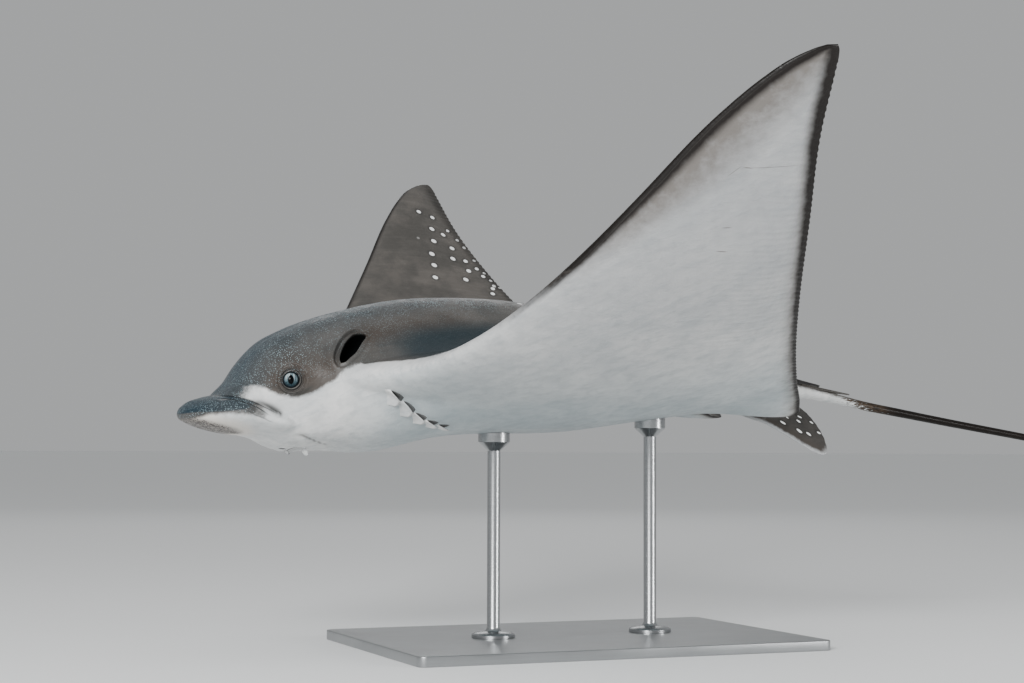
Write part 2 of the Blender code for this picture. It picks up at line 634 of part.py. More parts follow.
def make_mouth(body, head, cutters):
    """Two lips with the slit of the mouth between them, and a nostril at each side."""
    lips = []
    for word, shift in (("front", -LIP_RADIUS), ("rear", LIP_RADIUS)):
        line = mouth_line(body, shift, 0)
        rings = []
        for k, point in enumerate(line):
            radius = LIP_RADIUS * (0.35 + 0.65 * math.sin(math.pi * k / (len(line) - 1)))
            turns = [2 * math.pi * n / 6 for n in range(6)]
            rings.append([point + Vector((math.cos(t), 0, math.sin(t))) * radius for t in turns])
        lips.append(loft("lip_" + word, rings, cutters))
    join_all(head, lips)
    half = 0.0009
    rings = []
    for low, high in zip(mouth_line(body, 0, -0.008), mouth_line(body, 0, MOUTH_DEPTH)):
        rings.append([low + Vector((-half, 0, 0)), low + Vector((half, 0, 0)),
                      high + Vector((half, 0, 0)), high + Vector((-half, 0, 0))])
    cut(head, loft("cut_mouth", rings, cutters))


def make_nostrils(body, snout, cutters):
    """A slanted pit on each side in front of the mouth."""
    for side, word in ((-1, "left"), (1, "right")):
        x, y = NOSTRIL_PLACE
        spot, normal = hit(body, (x - 0.006, y * side, 0), (0, 0, -1))
        axes = axes_from(normal, (0.5, side, 0))
        across = (axes[1], axes[0], axes[2])
        cut(snout, ball("cut_nostril_" + word, spot, across, NOSTRIL_SIZE, 10, 6, cutters))


def make_gills(body, torso, cutters):
    """Five gill flaps a side, each a low plate whose rear edge stands off the throat."""
    flaps = []
    for side in (-1, 1):
        for k in range(GILL_COUNT):
            share = k / (GILL_COUNT - 1)
            x = GILL_FIRST[0] + (GILL_LAST[0] - GILL_FIRST[0]) * share
            y = GILL_FIRST[1] + (GILL_LAST[1] - GILL_FIRST[1]) * share
            spot, normal = hit(body, (x, y * side, 0), (0, 0, -1))
            lean = (normal + Vector((-0.22, 0, 0))).normalized()
            along, across, up = axes_from(lean, (1, 0.35 * side, 0))
            size = Vector(GILL_SIZE) * (1 - 0.25 * share)
            flaps.append(ball("gill", spot - normal * 0.0006, (along, across, up), size, 8, 5, cutters))
    join_all(torso, flaps)


def foil_ring(centre, width, normal, half_width, half_thickness, columns, ridge=0.0):
    """A thin section: along its width and back, thickest in the middle, with raised rays."""
    top, bottom = [], []
    for k in range(columns + 1):
        v = -math.cos(math.pi * k / columns)
        rise = half_thickness * math.sqrt(1 - v * v)
        rise += ridge * (k % 2) if 0 < k < columns else 0
        spot = centre + width * (half_width * v)
        top.append(spot + normal * rise)
        bottom.append(spot - normal * rise)
    return top + bottom[-2:0:-1]


def along(table, u, side, droop):
    """A point along a fin's edge, u from its root (0) to its tip (1), in metres."""
    rows = np.array(table)
    x, y, z = [float(smooth(rows[:, [0, k]], u)) for k in (1, 2, 3)]
    level = rows[0, 3] + (z - rows[0, 3]) * droop
    return Vector(world((x, y * side, level)))


def make_pelvic_fins(grown, collection):
    """The paddles that hang beside the tail's root, each cut clear of the body."""
    for side, word in ((-1, "left"), (1, "right")):
        droop = PELVIC_DROOP[word]
        rings = []
        for u in (0.0, 0.16, 0.32, 0.48, 0.62, 0.75, 0.87, 0.95, 0.99):
            front, rear = [along(edge, u, side, droop) for edge in (PELVIC_FRONT, PELVIC_REAR)]
            ahead = along(PELVIC_FRONT, u + 0.02, side, droop) - along(PELVIC_FRONT, u - 0.02, side, droop)
            width = (rear - front).normalized()
            normal = width.cross(ahead).normalized() * side
            half_width = (rear - front).length / 2 * math.sqrt(1 - u ** 12)
            half_thick = PELVIC_ROOT_HALF_THICKNESS * (1 - u) + MARGIN_HALF_THICKNESS
            centre = (front + rear) / 2
            rings.append(foil_ring(centre, width, normal, half_width, half_thick, 8, FIN_RIDGE))
        fin = loft("pelvic_fin_" + word, rings, collection)
        cut(fin, grown)
        keep_largest(fin)
        finish(fin, (0.14, 0.15, 0.15), 0.45)


def make_dorsal_fin(grown, collection):
    """The small fin on the tail's root, leaning back over the stings."""
    rings = []
    for height in (-0.012, 0.0, 0.003, 0.006, 0.0085, 0.013, 0.018, 0.0215):
        start = float(smooth(DORSAL_FRONT, height))
        end = float(smooth(DORSAL_REAR, height))
        centre = Vector(world(((start + end) / 2, 0, DORSAL_LEVEL + height)))
        half_width = (end - start) / 2 * DISC_WIDTH
        half_thick = DORSAL_HALF_THICKNESS * (1 - max(height, 0) / 0.028)
        rings.append(foil_ring(centre, Vector((1, 0, 0)), Vector((0, 1, 0)), half_width, half_thick, 8))
    fin = loft("dorsal_fin", rings, collection)
    cut(fin, grown)
    keep_largest(fin)
    finish(fin, (0.07, 0.07, 0.065), 0.5)


def make_stings(grown, collection):
    """Two flat barbed spines that lie back along the tail's root."""
    for side, word in ((-1, "left"), (1, "right")):
        start = np.array(mirrored(STING_ROOT, side))
        end = start + np.array((STING_LENGTH[word], STING_CLOSE * side, STING_DROP))
        rings = []
        for k in range(2 * STING_BARBS + 1):
            share = k / (2 * STING_BARBS)
            centre = Vector(world(start + (end - start) * share))
            half_width = STING_HALF_WIDTH * (1 - 0.8 * share + 0.2 * (k % 2))
            half_thick = STING_HALF_THICKNESS * (1 - 0.6 * share)
            rings.append(foil_ring(centre, Vector((0, 1, 0)), Vector((0, 0, 1)), half_width, half_thick, 3))
        sting = loft("sting_" + word, rings, collection)
        cut(sting, grown)
        keep_largest(sting)
        finish(sting, (0.10, 0.09, 0.075), 0.5)


def make_stand(grown, collection):
    """A steel plate on the floor and two turned rods whose pads carry the belly."""
    base = box("stand_base", (-BASE_LENGTH / 2, -BASE_WIDTH / 2, 0),
               (BASE_LENGTH / 2, BASE_WIDTH / 2, BASE_THICKNESS), collection)
    edge = base.modifiers.new("rounded edges", "BEVEL")
    edge.width = 0.003
    edge.segments = 2
    finish(base, (0.55, 0.56, 0.57), 0.35, 1.0)
    for name, place in ROD_PLACES.items():
        under = world((place, 0, float(smooth(BELLY, place))))
        foot = BASE_THICKNESS + GAP
        pad = under[2] - PAD_DEPTH
        top = under[2] + PAD_DEPTH
        profile = [(0, foot), (FOOT_RADIUS, foot), (FOOT_RADIUS, foot + 0.005),
                   (FOOT_RADIUS - 0.004, foot + 0.007), (ROD_RADIUS + 0.003, foot + 0.009),
                   (ROD_RADIUS, foot + 0.014), (ROD_RADIUS, pad - 0.012),
                   (PAD_RADIUS - 0.002, pad - 0.002), (PAD_RADIUS, pad), (PAD_RADIUS, top), (0, top)]
        mesh = bpy.data.meshes.new(name)
        spots = [(radius, 0, height) for radius, height in reversed(profile)]
        mesh.from_pydata(spots, [(k, k + 1) for k in range(len(spots) - 1)], [])
        rod = new_object(name, mesh, collection)
        rod.location = (under[0], 0, 0)
        turn = rod.modifiers.new("turned", "SCREW")
        turn.steps = turn.render_steps = 14
        turn.use_merge_vertices = True
        turn.merge_threshold = 0.0001
        evaluated(rod)
        cut(rod, grown)
        keep_largest(rod)
        finish(rod, (0.55, 0.56, 0.57), 0.3, 1.0)


def grow_body(body, cutters):
    """A copy of the body, larger by the gap all over, that neighbours are cut with."""
    grown = new_object("cut_grown_body", body.data.copy(), cutters)
    normals = [v.normal.copy() for v in grown.data.vertices]
    for vertex, normal in zip(grown.data.vertices, normals):
        vertex.co += normal * GAP
    return grown


def build():
    for thing in list(bpy.data.objects):
        bpy.data.objects.remove(thing)
    ray = bpy.data.collections.new("spotted_eagle_ray")
    cutters = bpy.data.collections.new("cutters")
    bpy.context.scene.collection.children.link(ray)
    bpy.context.scene.collection.children.link(cutters)
    body = weld_body("cut_whole_body", cutters)
    grown = grow_body(body, cutters)
    bpy.context.view_layer.update()
    nodes = part_body(body, body_regions(), ray, cutters)
    make_eyes(body, nodes["head"], ray, cutters)
    make_spiracles(body, nodes["head"], cutters)
    make_mouth(body, nodes["head"], cutters)
    make_nostrils(body, nodes["snout"], cutters)
    make_gills(body, nodes["torso"], cutters)
    for name in ("head", "snout", "torso"):
        keep_largest(nodes[name])
    for name, node in nodes.items():
        dark = name.startswith("tail")
        finish(node, (0.06, 0.06, 0.055) if dark else (0.42, 0.43, 0.42), 0.45)
    make_pelvic_fins(grown, ray)
    make_dorsal_fin(grown, ray)
    make_stings(grown, ray)
    make_stand(grown, ray)
    for cutter in cutters.objects:
        cutter.hide_render = True
        cutter.display_type = "WIRE"


build()
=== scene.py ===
"""The looks of the spotted eagle ray: its skin, eyes, stings and stand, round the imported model.

The ray faces -X, its left side is at -Y and +Z is up, in metres. Places on the animal are
fractions of the disc's width: x back from the snout's tip, y out from the mid line, z up.
"""
import math

import bmesh
import bpy
import numpy as np
from mathutils import Matrix, Vector
from mathutils.bvhtree import BVHTree
from mathutils.interpolate import poly_3d_calc


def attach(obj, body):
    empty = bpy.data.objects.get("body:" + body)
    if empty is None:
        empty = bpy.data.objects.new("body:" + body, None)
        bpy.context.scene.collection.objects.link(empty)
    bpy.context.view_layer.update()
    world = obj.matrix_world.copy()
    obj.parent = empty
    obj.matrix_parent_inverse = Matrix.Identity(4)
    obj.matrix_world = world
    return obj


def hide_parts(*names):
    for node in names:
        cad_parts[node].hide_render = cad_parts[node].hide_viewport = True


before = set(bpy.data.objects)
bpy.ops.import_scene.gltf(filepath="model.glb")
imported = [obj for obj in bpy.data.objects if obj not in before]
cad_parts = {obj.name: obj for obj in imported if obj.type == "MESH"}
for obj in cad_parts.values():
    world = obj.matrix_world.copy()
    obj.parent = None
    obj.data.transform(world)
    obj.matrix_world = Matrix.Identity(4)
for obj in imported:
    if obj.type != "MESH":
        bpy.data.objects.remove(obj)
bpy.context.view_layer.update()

# The camera
# It stands off the ray's left shoulder, a little ahead of it and just under its back, and looks
# slightly up through a long lens, as in the photograph.
CAMERA_PLACE = Vector((-1.15760, -2.56986, 0.28098))
CAMERA_YAW = 0.39257
CAMERA_PITCH = 0.05079
CAMERA_ROLL = 0.00328
CAMERA_LENS = 70.382

look = Vector((math.sin(CAMERA_YAW) * math.cos(CAMERA_PITCH),
               math.cos(CAMERA_YAW) * math.cos(CAMERA_PITCH), math.sin(CAMERA_PITCH)))
level_right = Vector((math.cos(CAMERA_YAW), -math.sin(CAMERA_YAW), 0))
level_up = level_right.cross(look)
right = level_right * math.cos(CAMERA_ROLL) + level_up * math.sin(CAMERA_ROLL)
up = level_up * math.cos(CAMERA_ROLL) - level_right * math.sin(CAMERA_ROLL)
lens = bpy.data.cameras.new("camera")
lens.sensor_width = 36
lens.lens = CAMERA_LENS
camera = bpy.data.objects.new("camera", lens)
turned = Matrix((right, up, -look)).transposed().to_4x4()
camera.matrix_world = Matrix.Translation(CAMERA_PLACE) @ turned
bpy.context.scene.collection.objects.link(camera)
bpy.context.scene.camera = camera


# The floor and the studio light
# A wide matt sheet of white paper and four soft boxes: the key stands at the camera's left and
# lights the head and the near wing from the side, one hangs overhead, a strip is behind and a
# small one at the right lights the tail's root.
FLOOR_RADIUS = 60.0


def linear(hexcode):
    """An sRGB hex colour as linear red, green, blue and alpha."""
    parts = [int(hexcode[k:k + 2], 16) / 255 for k in (1, 3, 5)]
    return [c / 12.92 if c <= 0.04045 else ((c + 0.055) / 1.055) ** 2.4 for c in parts] + [1.0]


def feed(node, inputs):
    """Link or set a node's inputs, each by its name or number; a hex colour is made linear."""
    for key, value in inputs.items():
        if isinstance(value, bpy.types.Node):
            value = value.outputs[0]
        if isinstance(value, bpy.types.NodeSocket):
            node.id_data.links.new(value, node.inputs[key])
        else:
            node.inputs[key].default_value = linear(value) if isinstance(value, str) else value


def add(kind, *values, **settings):
    """Add a node to the tree at hand, with its settings, and feed its inputs.

    The kind may end in the node's operation or interpolation. The values are for its first
    inputs in order, or one dictionary by name.
    """
    kind, _, mode = kind.partition(".")
    new = tree.nodes.new("ShaderNode" + kind)
    if mode:
        settings["interpolation_type" if kind == "MapRange" else "operation"] = mode
    for key, value in settings.items():
        setattr(new, key, value)
    feed(new, values[0] if values and isinstance(values[0], dict) else dict(enumerate(values)))
    return new


def new_material(name):
    """A new material, its node tree and its Principled shader."""
    material = bpy.data.materials.new(name)
    material.use_nodes = True
    return material, material.node_tree, material.node_tree.nodes["Principled BSDF"]


def new_piece(name, mesh, material, smooth_faces=True):
    """Link a mesh as a piece with one material."""
    piece = bpy.data.objects.new(name, mesh)
    bpy.context.scene.collection.objects.link(piece)
    mesh.materials.clear()
    mesh.materials.append(material)
    mesh.polygons.foreach_set("use_smooth", [smooth_faces] * len(mesh.polygons))
    return piece


def bridge(shape, loops):
    """Lay faces between each closed loop of vertices and the next."""
    for lower, upper in zip(loops, loops[1:]):
        for k in range(len(lower)):
            n = (k + 1) % len(lower)
            shape.faces.new((lower[k], lower[n], upper[n], upper[k]))


def cap(shape, loop, place):
    """Close a loop with a fan of faces round a new vertex, and give that vertex."""
    middle = shape.verts.new(place)
    for k in range(len(loop)):
        shape.faces.new((loop[k], loop[(k + 1) % len(loop)], middle))
    return middle


def centre_of(loop):
    """The mean place of a loop's vertices."""
    return sum((v.co for v in loop), Vector()) / len(loop)


def mesh_of(shape, name):
    """Turn a bmesh into a mesh whose faces point outwards and are listed in one fixed order."""
    shape.normal_update()
    bmesh.ops.recalc_face_normals(shape, faces=shape.faces)
    shape.verts.index_update()
    count = len(shape.verts)
    shape.faces.sort(key=lambda face: face.verts[0].index * count + face.verts[1].index)
    mesh = bpy.data.meshes.new(name)
    shape.to_mesh(mesh)
    shape.free()
    return mesh


paper, tree, shader = new_material("matt_paper")
tooth = add("TexNoise", {"Scale": 900.0, "Detail": 2.0})
feed(shader, {"Base Color": "#f6f7f7", "Roughness": 0.9,
              "Normal": add("Bump", {"Height": tooth, "Distance": 0.0001})})
shape = bmesh.new()
bmesh.ops.create_circle(shape, cap_ends=True, segments=96, radius=FLOOR_RADIUS)
floor = new_piece("floor", mesh_of(shape, "floor"), paper)

for name, place, aim, size, power in (
        ("soft_box_key", (-2.7, -3.1, 1.75), (0.0, -0.1, 0.35), (1.5, 1.2), 200),
        ("soft_box_over", (-0.6, -0.3, 3.6), (0.1, 0, 0.4), (3.0, 2.6), 12),
        ("strip_behind", (1.6, 4.6, 2.6), (0.1, 0, 0.5), (2.6, 0.6), 14),
        ("soft_box_tail", (1.9, -1.9, 0.55), (0.42, 0, 0.34), (0.5, 0.5), 26)):
    light = bpy.data.lights.new(name, "AREA")
    light.shape = "RECTANGLE"
    light.size, light.size_y = size
    light.energy = power
    holder = bpy.data.objects.new(name, light)
    holder.location = place
    holder.rotation_euler = (Vector(aim) - Vector(place)).to_track_quat("-Z", "Y").to_euler()
    bpy.context.scene.collection.objects.link(holder)
world = bpy.data.worlds.new("studio")
world.use_nodes = True
backdrop = world.node_tree.nodes["Background"]
backdrop.inputs["Color"].default_value = linear("#e9ebec")
backdrop.inputs["Strength"].default_value = 0.52
bpy.context.scene.world = world


# The form of the body
# One skin from the snout's tip to the whip's end: a head and trunk of rounded sections, a disc
# bent up into two wings, and a rump that narrows into the tail. The same named sizes as the
# solids, on a finer grid, with the fins' rays and the scalloped rear edge at their real pitch.


def pairs(per, *numbers):
    """Pairs of a place, in thousandths of the disc's width, and a value to be divided by per."""
    return np.reshape(numbers, (-1, 2)) / (1000, per)


DISC_WIDTH = 1.6
STAND_CENTRE = 0.36
BODY_LEVEL = 0.205
HEAD_ROWS = 94
WING_ROWS = 36
RUMP_ROWS = 20
TAIL_ROWS = 100
TRUNK_COLUMNS = 60
RUMP_COLUMNS = 20
WING_COLUMNS = 280
SHOULDER_SPAN = 0.08
SHOULDER_X = 0.121
HALF_SPAN = 0.5
RUMP_X = 0.51
TAIL_START = 0.60
TAIL_END = 2.49
LEADING_EDGE = pairs(1000, 0, 90,  50, 102,  80, 121,  130, 157,  200, 189,  280, 230.3,
                     360, 272.8,  430, 309.5,  465, 331.5,  482, 344.5,  491, 354.5,  496.5, 362.5,
                     499.2, 369,  500, 374.5)
TRAILING_EDGE = pairs(1000, 0, 505,  40, 510,  55, 520,  62, 535,  67, 543,  73, 545.5,  80, 542,
                      130, 511,  200, 472,  280, 436,  360, 409,  430, 389,  480, 380.5,
                      492, 378.5,  497.5, 376.5,  500, 374.5)
LEAD_BEND = pairs(1, 0, 5,  120, 5.9,  240, 36.2,  360, 49.4,  500, 36.9)
TRAIL_BEND = pairs(1, 0, 2.6,  120, 16.4,  240, 30.5,  360, 45.7,  500, 50.9)
LEAD_LEVEL = 0.0172
TRAIL_LEVEL = 0.0007
CORNER_SAG = pairs(1000, 40, 0,  50, 3.5,  56, 7.2,  62, 11.2,  67, 12.4,  73, 10.5,  80, 7.5,
                   100, 2.2,  125, 0,  500, 0)
WING_HALF_THICKNESS = pairs(1000, 0, 22,  80, 24,  130, 21,  200, 16,  280, 11.5,  360, 8,
                            430, 5.2,  480, 3.4,  500, 2.8)
MARGIN_HALF_THICKNESS = 0.0008
JOIN_POWER = 2.5
LEAD_SLANT = 0.9
TRAIL_SLANT = 0.93
FOIL_PEAK = 0.385
SCALLOP_PITCH = 0.0056
SCALLOP_DEPTH = 0.0007
RAY_RIDGE = 0.00022
BACK = pairs(1000, 28, -4,  34, 3,  39, 9.8,  52, 23.2,  61, 36.9,  74, 50.6,  95, 62.9,  121, 73.8,
             148, 81.8,  175, 88.3,  202, 92.3,  239, 94.3,  271, 94.3,  301, 92.6,  340, 87.5,
             400, 75.5,  450, 61.5,  500, 46,  540, 35.5,  570, 28.5,  600, 23.2)
BELLY = pairs(1000, 28, -18,  35, -20,  48.5, -22.6,  60, -23.8,  73, -28,  81, -32.5,  89, -35.5,
              114, -36.2,  136, -36.2,  149, -37.5,  167, -37.2,  185, -34.7,  203, -30,
              221, -25.8,  240, -23,  271, -21.2,  325, -20.5,  355, -18.6,  384, -15,  414, -10.7,
              456, -5.5,  498, -0.5,  520, 1,  550, 6,  588, 12.5,  600, 12.4)
WAIST = pairs(1000, 8.5, -6.6,  14, -5.6,  40, -4.5,  52, -2,  63, 3,  71.5, 9,  80, 14.5,  90, 18,
              105, 21.5,  121, 24.5,  505, 2.5,  530, 9,  560, 14.5,  588, 17.8,  600, 17.8)
HALF_WIDTH = pairs(1000, 28, 0,  34, 24,  40, 36,  52, 47.5,  63, 54,  71.5, 58.5,  80, 62.5,
                   90, 66.8,  100, 71.2,  110, 75.5,  121, 80,  170, 100,  220, 125,  300, 140,
                   380, 125,  450, 90,  490, 58,  510, 40,  530, 34,  545, 29,  560, 23.5,  575, 18,
                   590, 11.8,  600, 8.8)
ROUND_BACK = pairs(1, 30, 0.36,  80, 0.43,  121, 0.5,  170, 0.8,  220, 1.25,  300, 1.6,  420, 1.4,
                   480, 0.9,  510, 0.5,  600, 0.5)
ROUND_BELLY = pairs(1, 30, 0.36,  90, 0.4,  121, 0.5,  160, 0.62,  200, 0.8,  300, 1.3,  420, 1.2,
                    480, 0.8,  510, 0.5,  600, 0.5)
LOBE_TIP = 0.0085
LOBE_REAR = 0.078
LOBE_FADE = 0.036
LOBE_HALF_WIDTH = 0.0625
LOBE_LEVEL = pairs(1000, 8.5, -6.8,  14, -5.8,  27, -5.6,  40, -5.7,  52, -5.3,  63, -7.7,
                   71.5, -11.1,  80, -14.2,  90, -17,  115, -21)
LOBE_HALF_HEIGHT = pairs(1000, 8.5, 0,  9.8, 3.4,  14, 7,  27, 12.5,  40, 15.6,  52, 17.9,
                         63, 16.5,  71.5, 15.1,  80, 13.3,  90, 10.8,  102, 7,  115, 1.5)
TAIL_LEVEL = pairs(1000, 600, 17.8,  611, 15.7,  632.5, 11.7,  654, 7.3,  698.5, 0,  743, -7.2,
                   838, -21.7,  1000, -47,  1300, -85,  1700, -108,  2100, -118,  2490, -112)
TAIL_HALF_WIDTH = pairs(1000, 600, 8.8,  620, 6.6,  652, 5.4,  741, 4.7,  837, 3.8,  1000, 3.1,
                        1400, 2.3,  1900, 1.6,  2300, 1.1,  2490, 0.6)
TAIL_HALF_HEIGHT = pairs(1000, 600, 5.4,  632.5, 4.6,  698.5, 4,  838, 3.4,  1000, 2.9,  1400, 2.2,
                         1900, 1.6,  2300, 1.1,  2490, 0.6)
TAIL_SWAY = pairs(1000, 600, 0,  850, 0,  1200, 20,  1600, 50,  2000, 35,  2490, -20)

# Swellings and hollows of the head: centre on the right side, radius and push.
SWELLINGS = (
    ((0.084, 0.066, 0.0204), 0.0125, (-0.0006, 0.0030, 0.0002)),
    ((0.080, 0.058, 0.036), 0.014, (-0.0004, 0.0012, 0.0012)),
    ((0.122, 0.070, 0.040), 0.013, (0.0, -0.0022, -0.0012)),
    ((0.112, 0.052, -0.028), 0.018, (0.0, 0.0020, -0.0016)),
    ((0.131, 0.061, 0.0605), 0.011, (-0.0004, 0.0012, 0.0020)),
    ((0.1175, 0.0665, 0.0465), 0.009, (0.0, -0.0024, -0.0008)),
)


def smooth(table, x):
    """A smooth curve through a table's points, flat beyond its ends."""
    points = np.asarray(table, float)
    knots, values = points[:, 0], points[:, 1]
    step = np.diff(knots)
    rise = np.diff(values) / step
    slope = np.empty_like(values)
    slope[0] = rise[0]
    slope[-1] = rise[-1]
    slope[1:-1] = (rise[:-1] * step[1:] + rise[1:] * step[:-1]) / (step[:-1] + step[1:])
    x = np.clip(np.asarray(x, float), knots[0], knots[-1])
    i = np.clip(np.searchsorted(knots, x, side="right") - 1, 0, len(knots) - 2)
    u = (x - knots[i]) / step[i]
    start = values[i] * (1 + 2 * u) + slope[i] * step[i] * u
    end = values[i + 1] * (3 - 2 * u) + slope[i + 1] * step[i] * (u - 1)
    return start * (1 - u) ** 2 + end * u ** 2


def ease(value, low, high):
    """0 below low, 1 above high, and a smooth step between."""
    u = np.clip((value - low) / (high - low), 0, 1)
    return u * u * (3 - 2 * u)


def in_metres(points):
    """Fractions of the disc's width to metres on the stand."""
    shift = np.array([-STAND_CENTRE, 0, BODY_LEVEL])
    return (np.asarray(points, float) + shift) * DISC_WIDTH


def bent_line(bend, start_level, span):
    """Distance out and height of one wing edge, at each distance along its bend."""
    steps = np.linspace(0, HALF_SPAN, 401)
    angle = np.radians(smooth(bend, steps))
    middle = (angle[1:] + angle[:-1]) / 2
    out = np.concatenate([[0], np.cumsum(np.cos(middle))]) * steps[1]
    rise = np.concatenate([[0], np.cumsum(np.sin(middle))]) * steps[1]
    return np.interp(span, steps, out), np.interp(span, steps, rise) + start_level


def lobe_half_width(x):
    """Half the width of the snout's lobe: a blunt round front that closes behind the eye."""
    ahead = np.clip((LOBE_REAR - x) / (LOBE_REAR - LOBE_TIP), 0, 1)
    front = LOBE_HALF_WIDTH * (1 - ahead ** 2.3) ** 0.55
    behind = np.clip((x - LOBE_REAR) / LOBE_FADE, 0, 1)
    return front * (1 - behind ** 2)


def lobe_reach(dy, dz, drop, half_width, half_height):
    """How many times (dy, dz) reaches the far side of the lobe's ellipse, or 0 where it misses."""
    half_width = np.maximum(half_width, 1e-6)
    half_height = np.maximum(half_height, 1e-6)
    square = (dy / half_width) ** 2 + (dz / half_height) ** 2
    middle = dz * drop / half_height ** 2
    root = middle ** 2 - square * ((drop / half_height) ** 2 - 1)
    reach = (-middle + np.sqrt(np.maximum(root, 0))) / np.maximum(square, 1e-12)
    return np.where(root > 0, np.maximum(reach, 0), 0)


def trunk_sheet(edge_x, skew, border, side, columns):
    """Upper (side = 1) or lower (side = -1) half of the head or rump, and its reach outwards."""
    border_x, border_line, bend, bend_level = border
    turn = np.linspace(0, math.pi / 2, columns + 1)[None, :]
    edge_x = edge_x[:, None]
    skew = skew[:, None]
    reach = np.maximum(smooth(HALF_WIDTH, edge_x), lobe_half_width(edge_x)) * np.sin(turn)
    x = edge_x - skew * (border_x - smooth(border_line, reach))
    waist = smooth(WAIST, x) * (1 - skew) + bent_line(bend, bend_level, reach)[1] * skew
    behind_brow = x > HALF_WIDTH[0][0]
    half_width = np.where(behind_brow, smooth(HALF_WIDTH, x), 1e-6)
    height = np.where(behind_brow, (smooth(BACK if side > 0 else BELLY, x) - waist) * side, 1e-6)
    height = np.maximum(height, 1e-6)
    lobe_width = lobe_half_width(x)
    lobe_level = smooth(LOBE_LEVEL, x)
    lobe_height = smooth(LOBE_HALF_HEIGHT, x)
    lobe_top = np.where(lobe_width > 0, (lobe_level - waist) * side + lobe_height, 0)
    dy = np.maximum(half_width, lobe_width) * np.sin(turn)
    dz = np.maximum(height, lobe_top) * np.cos(turn)
    power = np.maximum(2, 1 / smooth(ROUND_BACK if side > 0 else ROUND_BELLY, x))
    grow = ((dy / half_width) ** power + (dz / height) ** power + 1e-12) ** (-1 / power)
    lobe = lobe_reach(dy, dz * side, waist - lobe_level, lobe_width, lobe_height)
    round_off = 0.06 * ease(x, 0.066, 0.080) * (lobe > 0)
    joined = (grow + lobe + np.sqrt((grow - lobe) ** 2 + round_off ** 2)) / 2
    grow = np.where(lobe_width > 0, joined, grow)
    return np.stack([x, dy * grow, waist + side * dz * grow], -1), reach + 0 * x


def wing_sheet(chord, span, side):
    """Upper or lower half of the disc, with the distances to its front and rear edge."""
    chord = chord[:, None]
    span = span[None, :]
    ray = np.cos(2 * math.pi * span / SCALLOP_PITCH) * ease(span, 0.07, 0.09) * (span < 0.488)
    lead_x = smooth(LEADING_EDGE, span)
    trail_x = smooth(TRAILING_EDGE, span) + ray * SCALLOP_DEPTH / 2 * ease(span, 0.10, 0.14)
    lead_y, lead_z = bent_line(LEAD_BEND, LEAD_LEVEL, span)
    trail_y, trail_z = bent_line(TRAIL_BEND, TRAIL_LEVEL, span)
    near_tip = ease(span, 0.38, HALF_SPAN)
    trail_y = trail_y + (lead_y[0, -1] - trail_y[0, -1]) * near_tip
    trail_z = trail_z + (lead_z[0, -1] - trail_z[0, -1]) * near_tip
    x = lead_x + (trail_x - lead_x) * chord
    y = lead_y + (trail_y - lead_y) * chord
    z = lead_z + (trail_z - lead_z) * chord - smooth(CORNER_SAG, span) * ease(chord, 0.78, 1)
    tilt = np.radians(smooth(LEAD_BEND, span) * (1 - chord) + smooth(TRAIL_BEND, span) * chord)
    tilt = tilt * ease(span, 0, SHOULDER_SPAN)
    roundness = smooth(ROUND_BACK if side > 0 else ROUND_BELLY, x)
    share = np.clip(span / smooth(HALF_WIDTH, x), 0, 1)
    profile = smooth(BACK if side > 0 else BELLY, x)
    trunk = np.maximum((profile - z[:, :1]) * side, 0)
    trunk = trunk * np.maximum(1 - share ** np.maximum(2, 1 / roundness), 0) ** roundness
    foil = np.sqrt(chord) * (1 - chord) / FOIL_PEAK * smooth(WING_HALF_THICKNESS, span)
    margin = MARGIN_HALF_THICKNESS * (4 * chord * (1 - chord)) ** 0.25
    ridge = RAY_RIDGE * (1 + ray) / 2 * ease(chord, 0.45, 0.9) * (chord < 0.999)
    tip = np.sqrt(np.clip((HALF_SPAN - span) / 0.03, 0, 1))
    web = (foil + margin + ridge) * tip * ease(span, -0.02, 0.06)
    rise = (trunk ** JOIN_POWER + web ** JOIN_POWER) ** (1 / JOIN_POWER)
    points = np.stack([x, y - np.sin(tilt) * rise * side, z + np.cos(tilt) * rise * side], -1)
    return points, span + 0 * x, (x - lead_x) * LEAD_SLANT, (trail_x - x) * TRAIL_SLANT


def tail_sheet(side, columns):
    """Upper or lower half of the whip."""
    share = np.linspace(0, 1, TAIL_ROWS + 1)[:, None]
    x = TAIL_START + (TAIL_END - TAIL_START) * share ** 1.25
    turn = np.linspace(0, math.pi / 2, columns + 1)[None, :]
    close = np.sqrt(np.clip((TAIL_END - x) / 0.003, 0, 1))
    y = smooth(TAIL_HALF_WIDTH, x) * np.sin(turn) * close
    z = smooth(TAIL_LEVEL, x) + side * smooth(TAIL_HALF_HEIGHT, x) * np.cos(turn) * close
    return np.stack([x + 0 * turn, y, z], -1)


def swell(points):
    """Push the head's swellings and hollows out of, or into, the skin."""
    for centre, radius, push in SWELLINGS:
        away = np.linalg.norm(points - np.array(centre), axis=-1, keepdims=True)
        points = points + np.exp(-(away / radius) ** 2) * np.array(push)
    return points


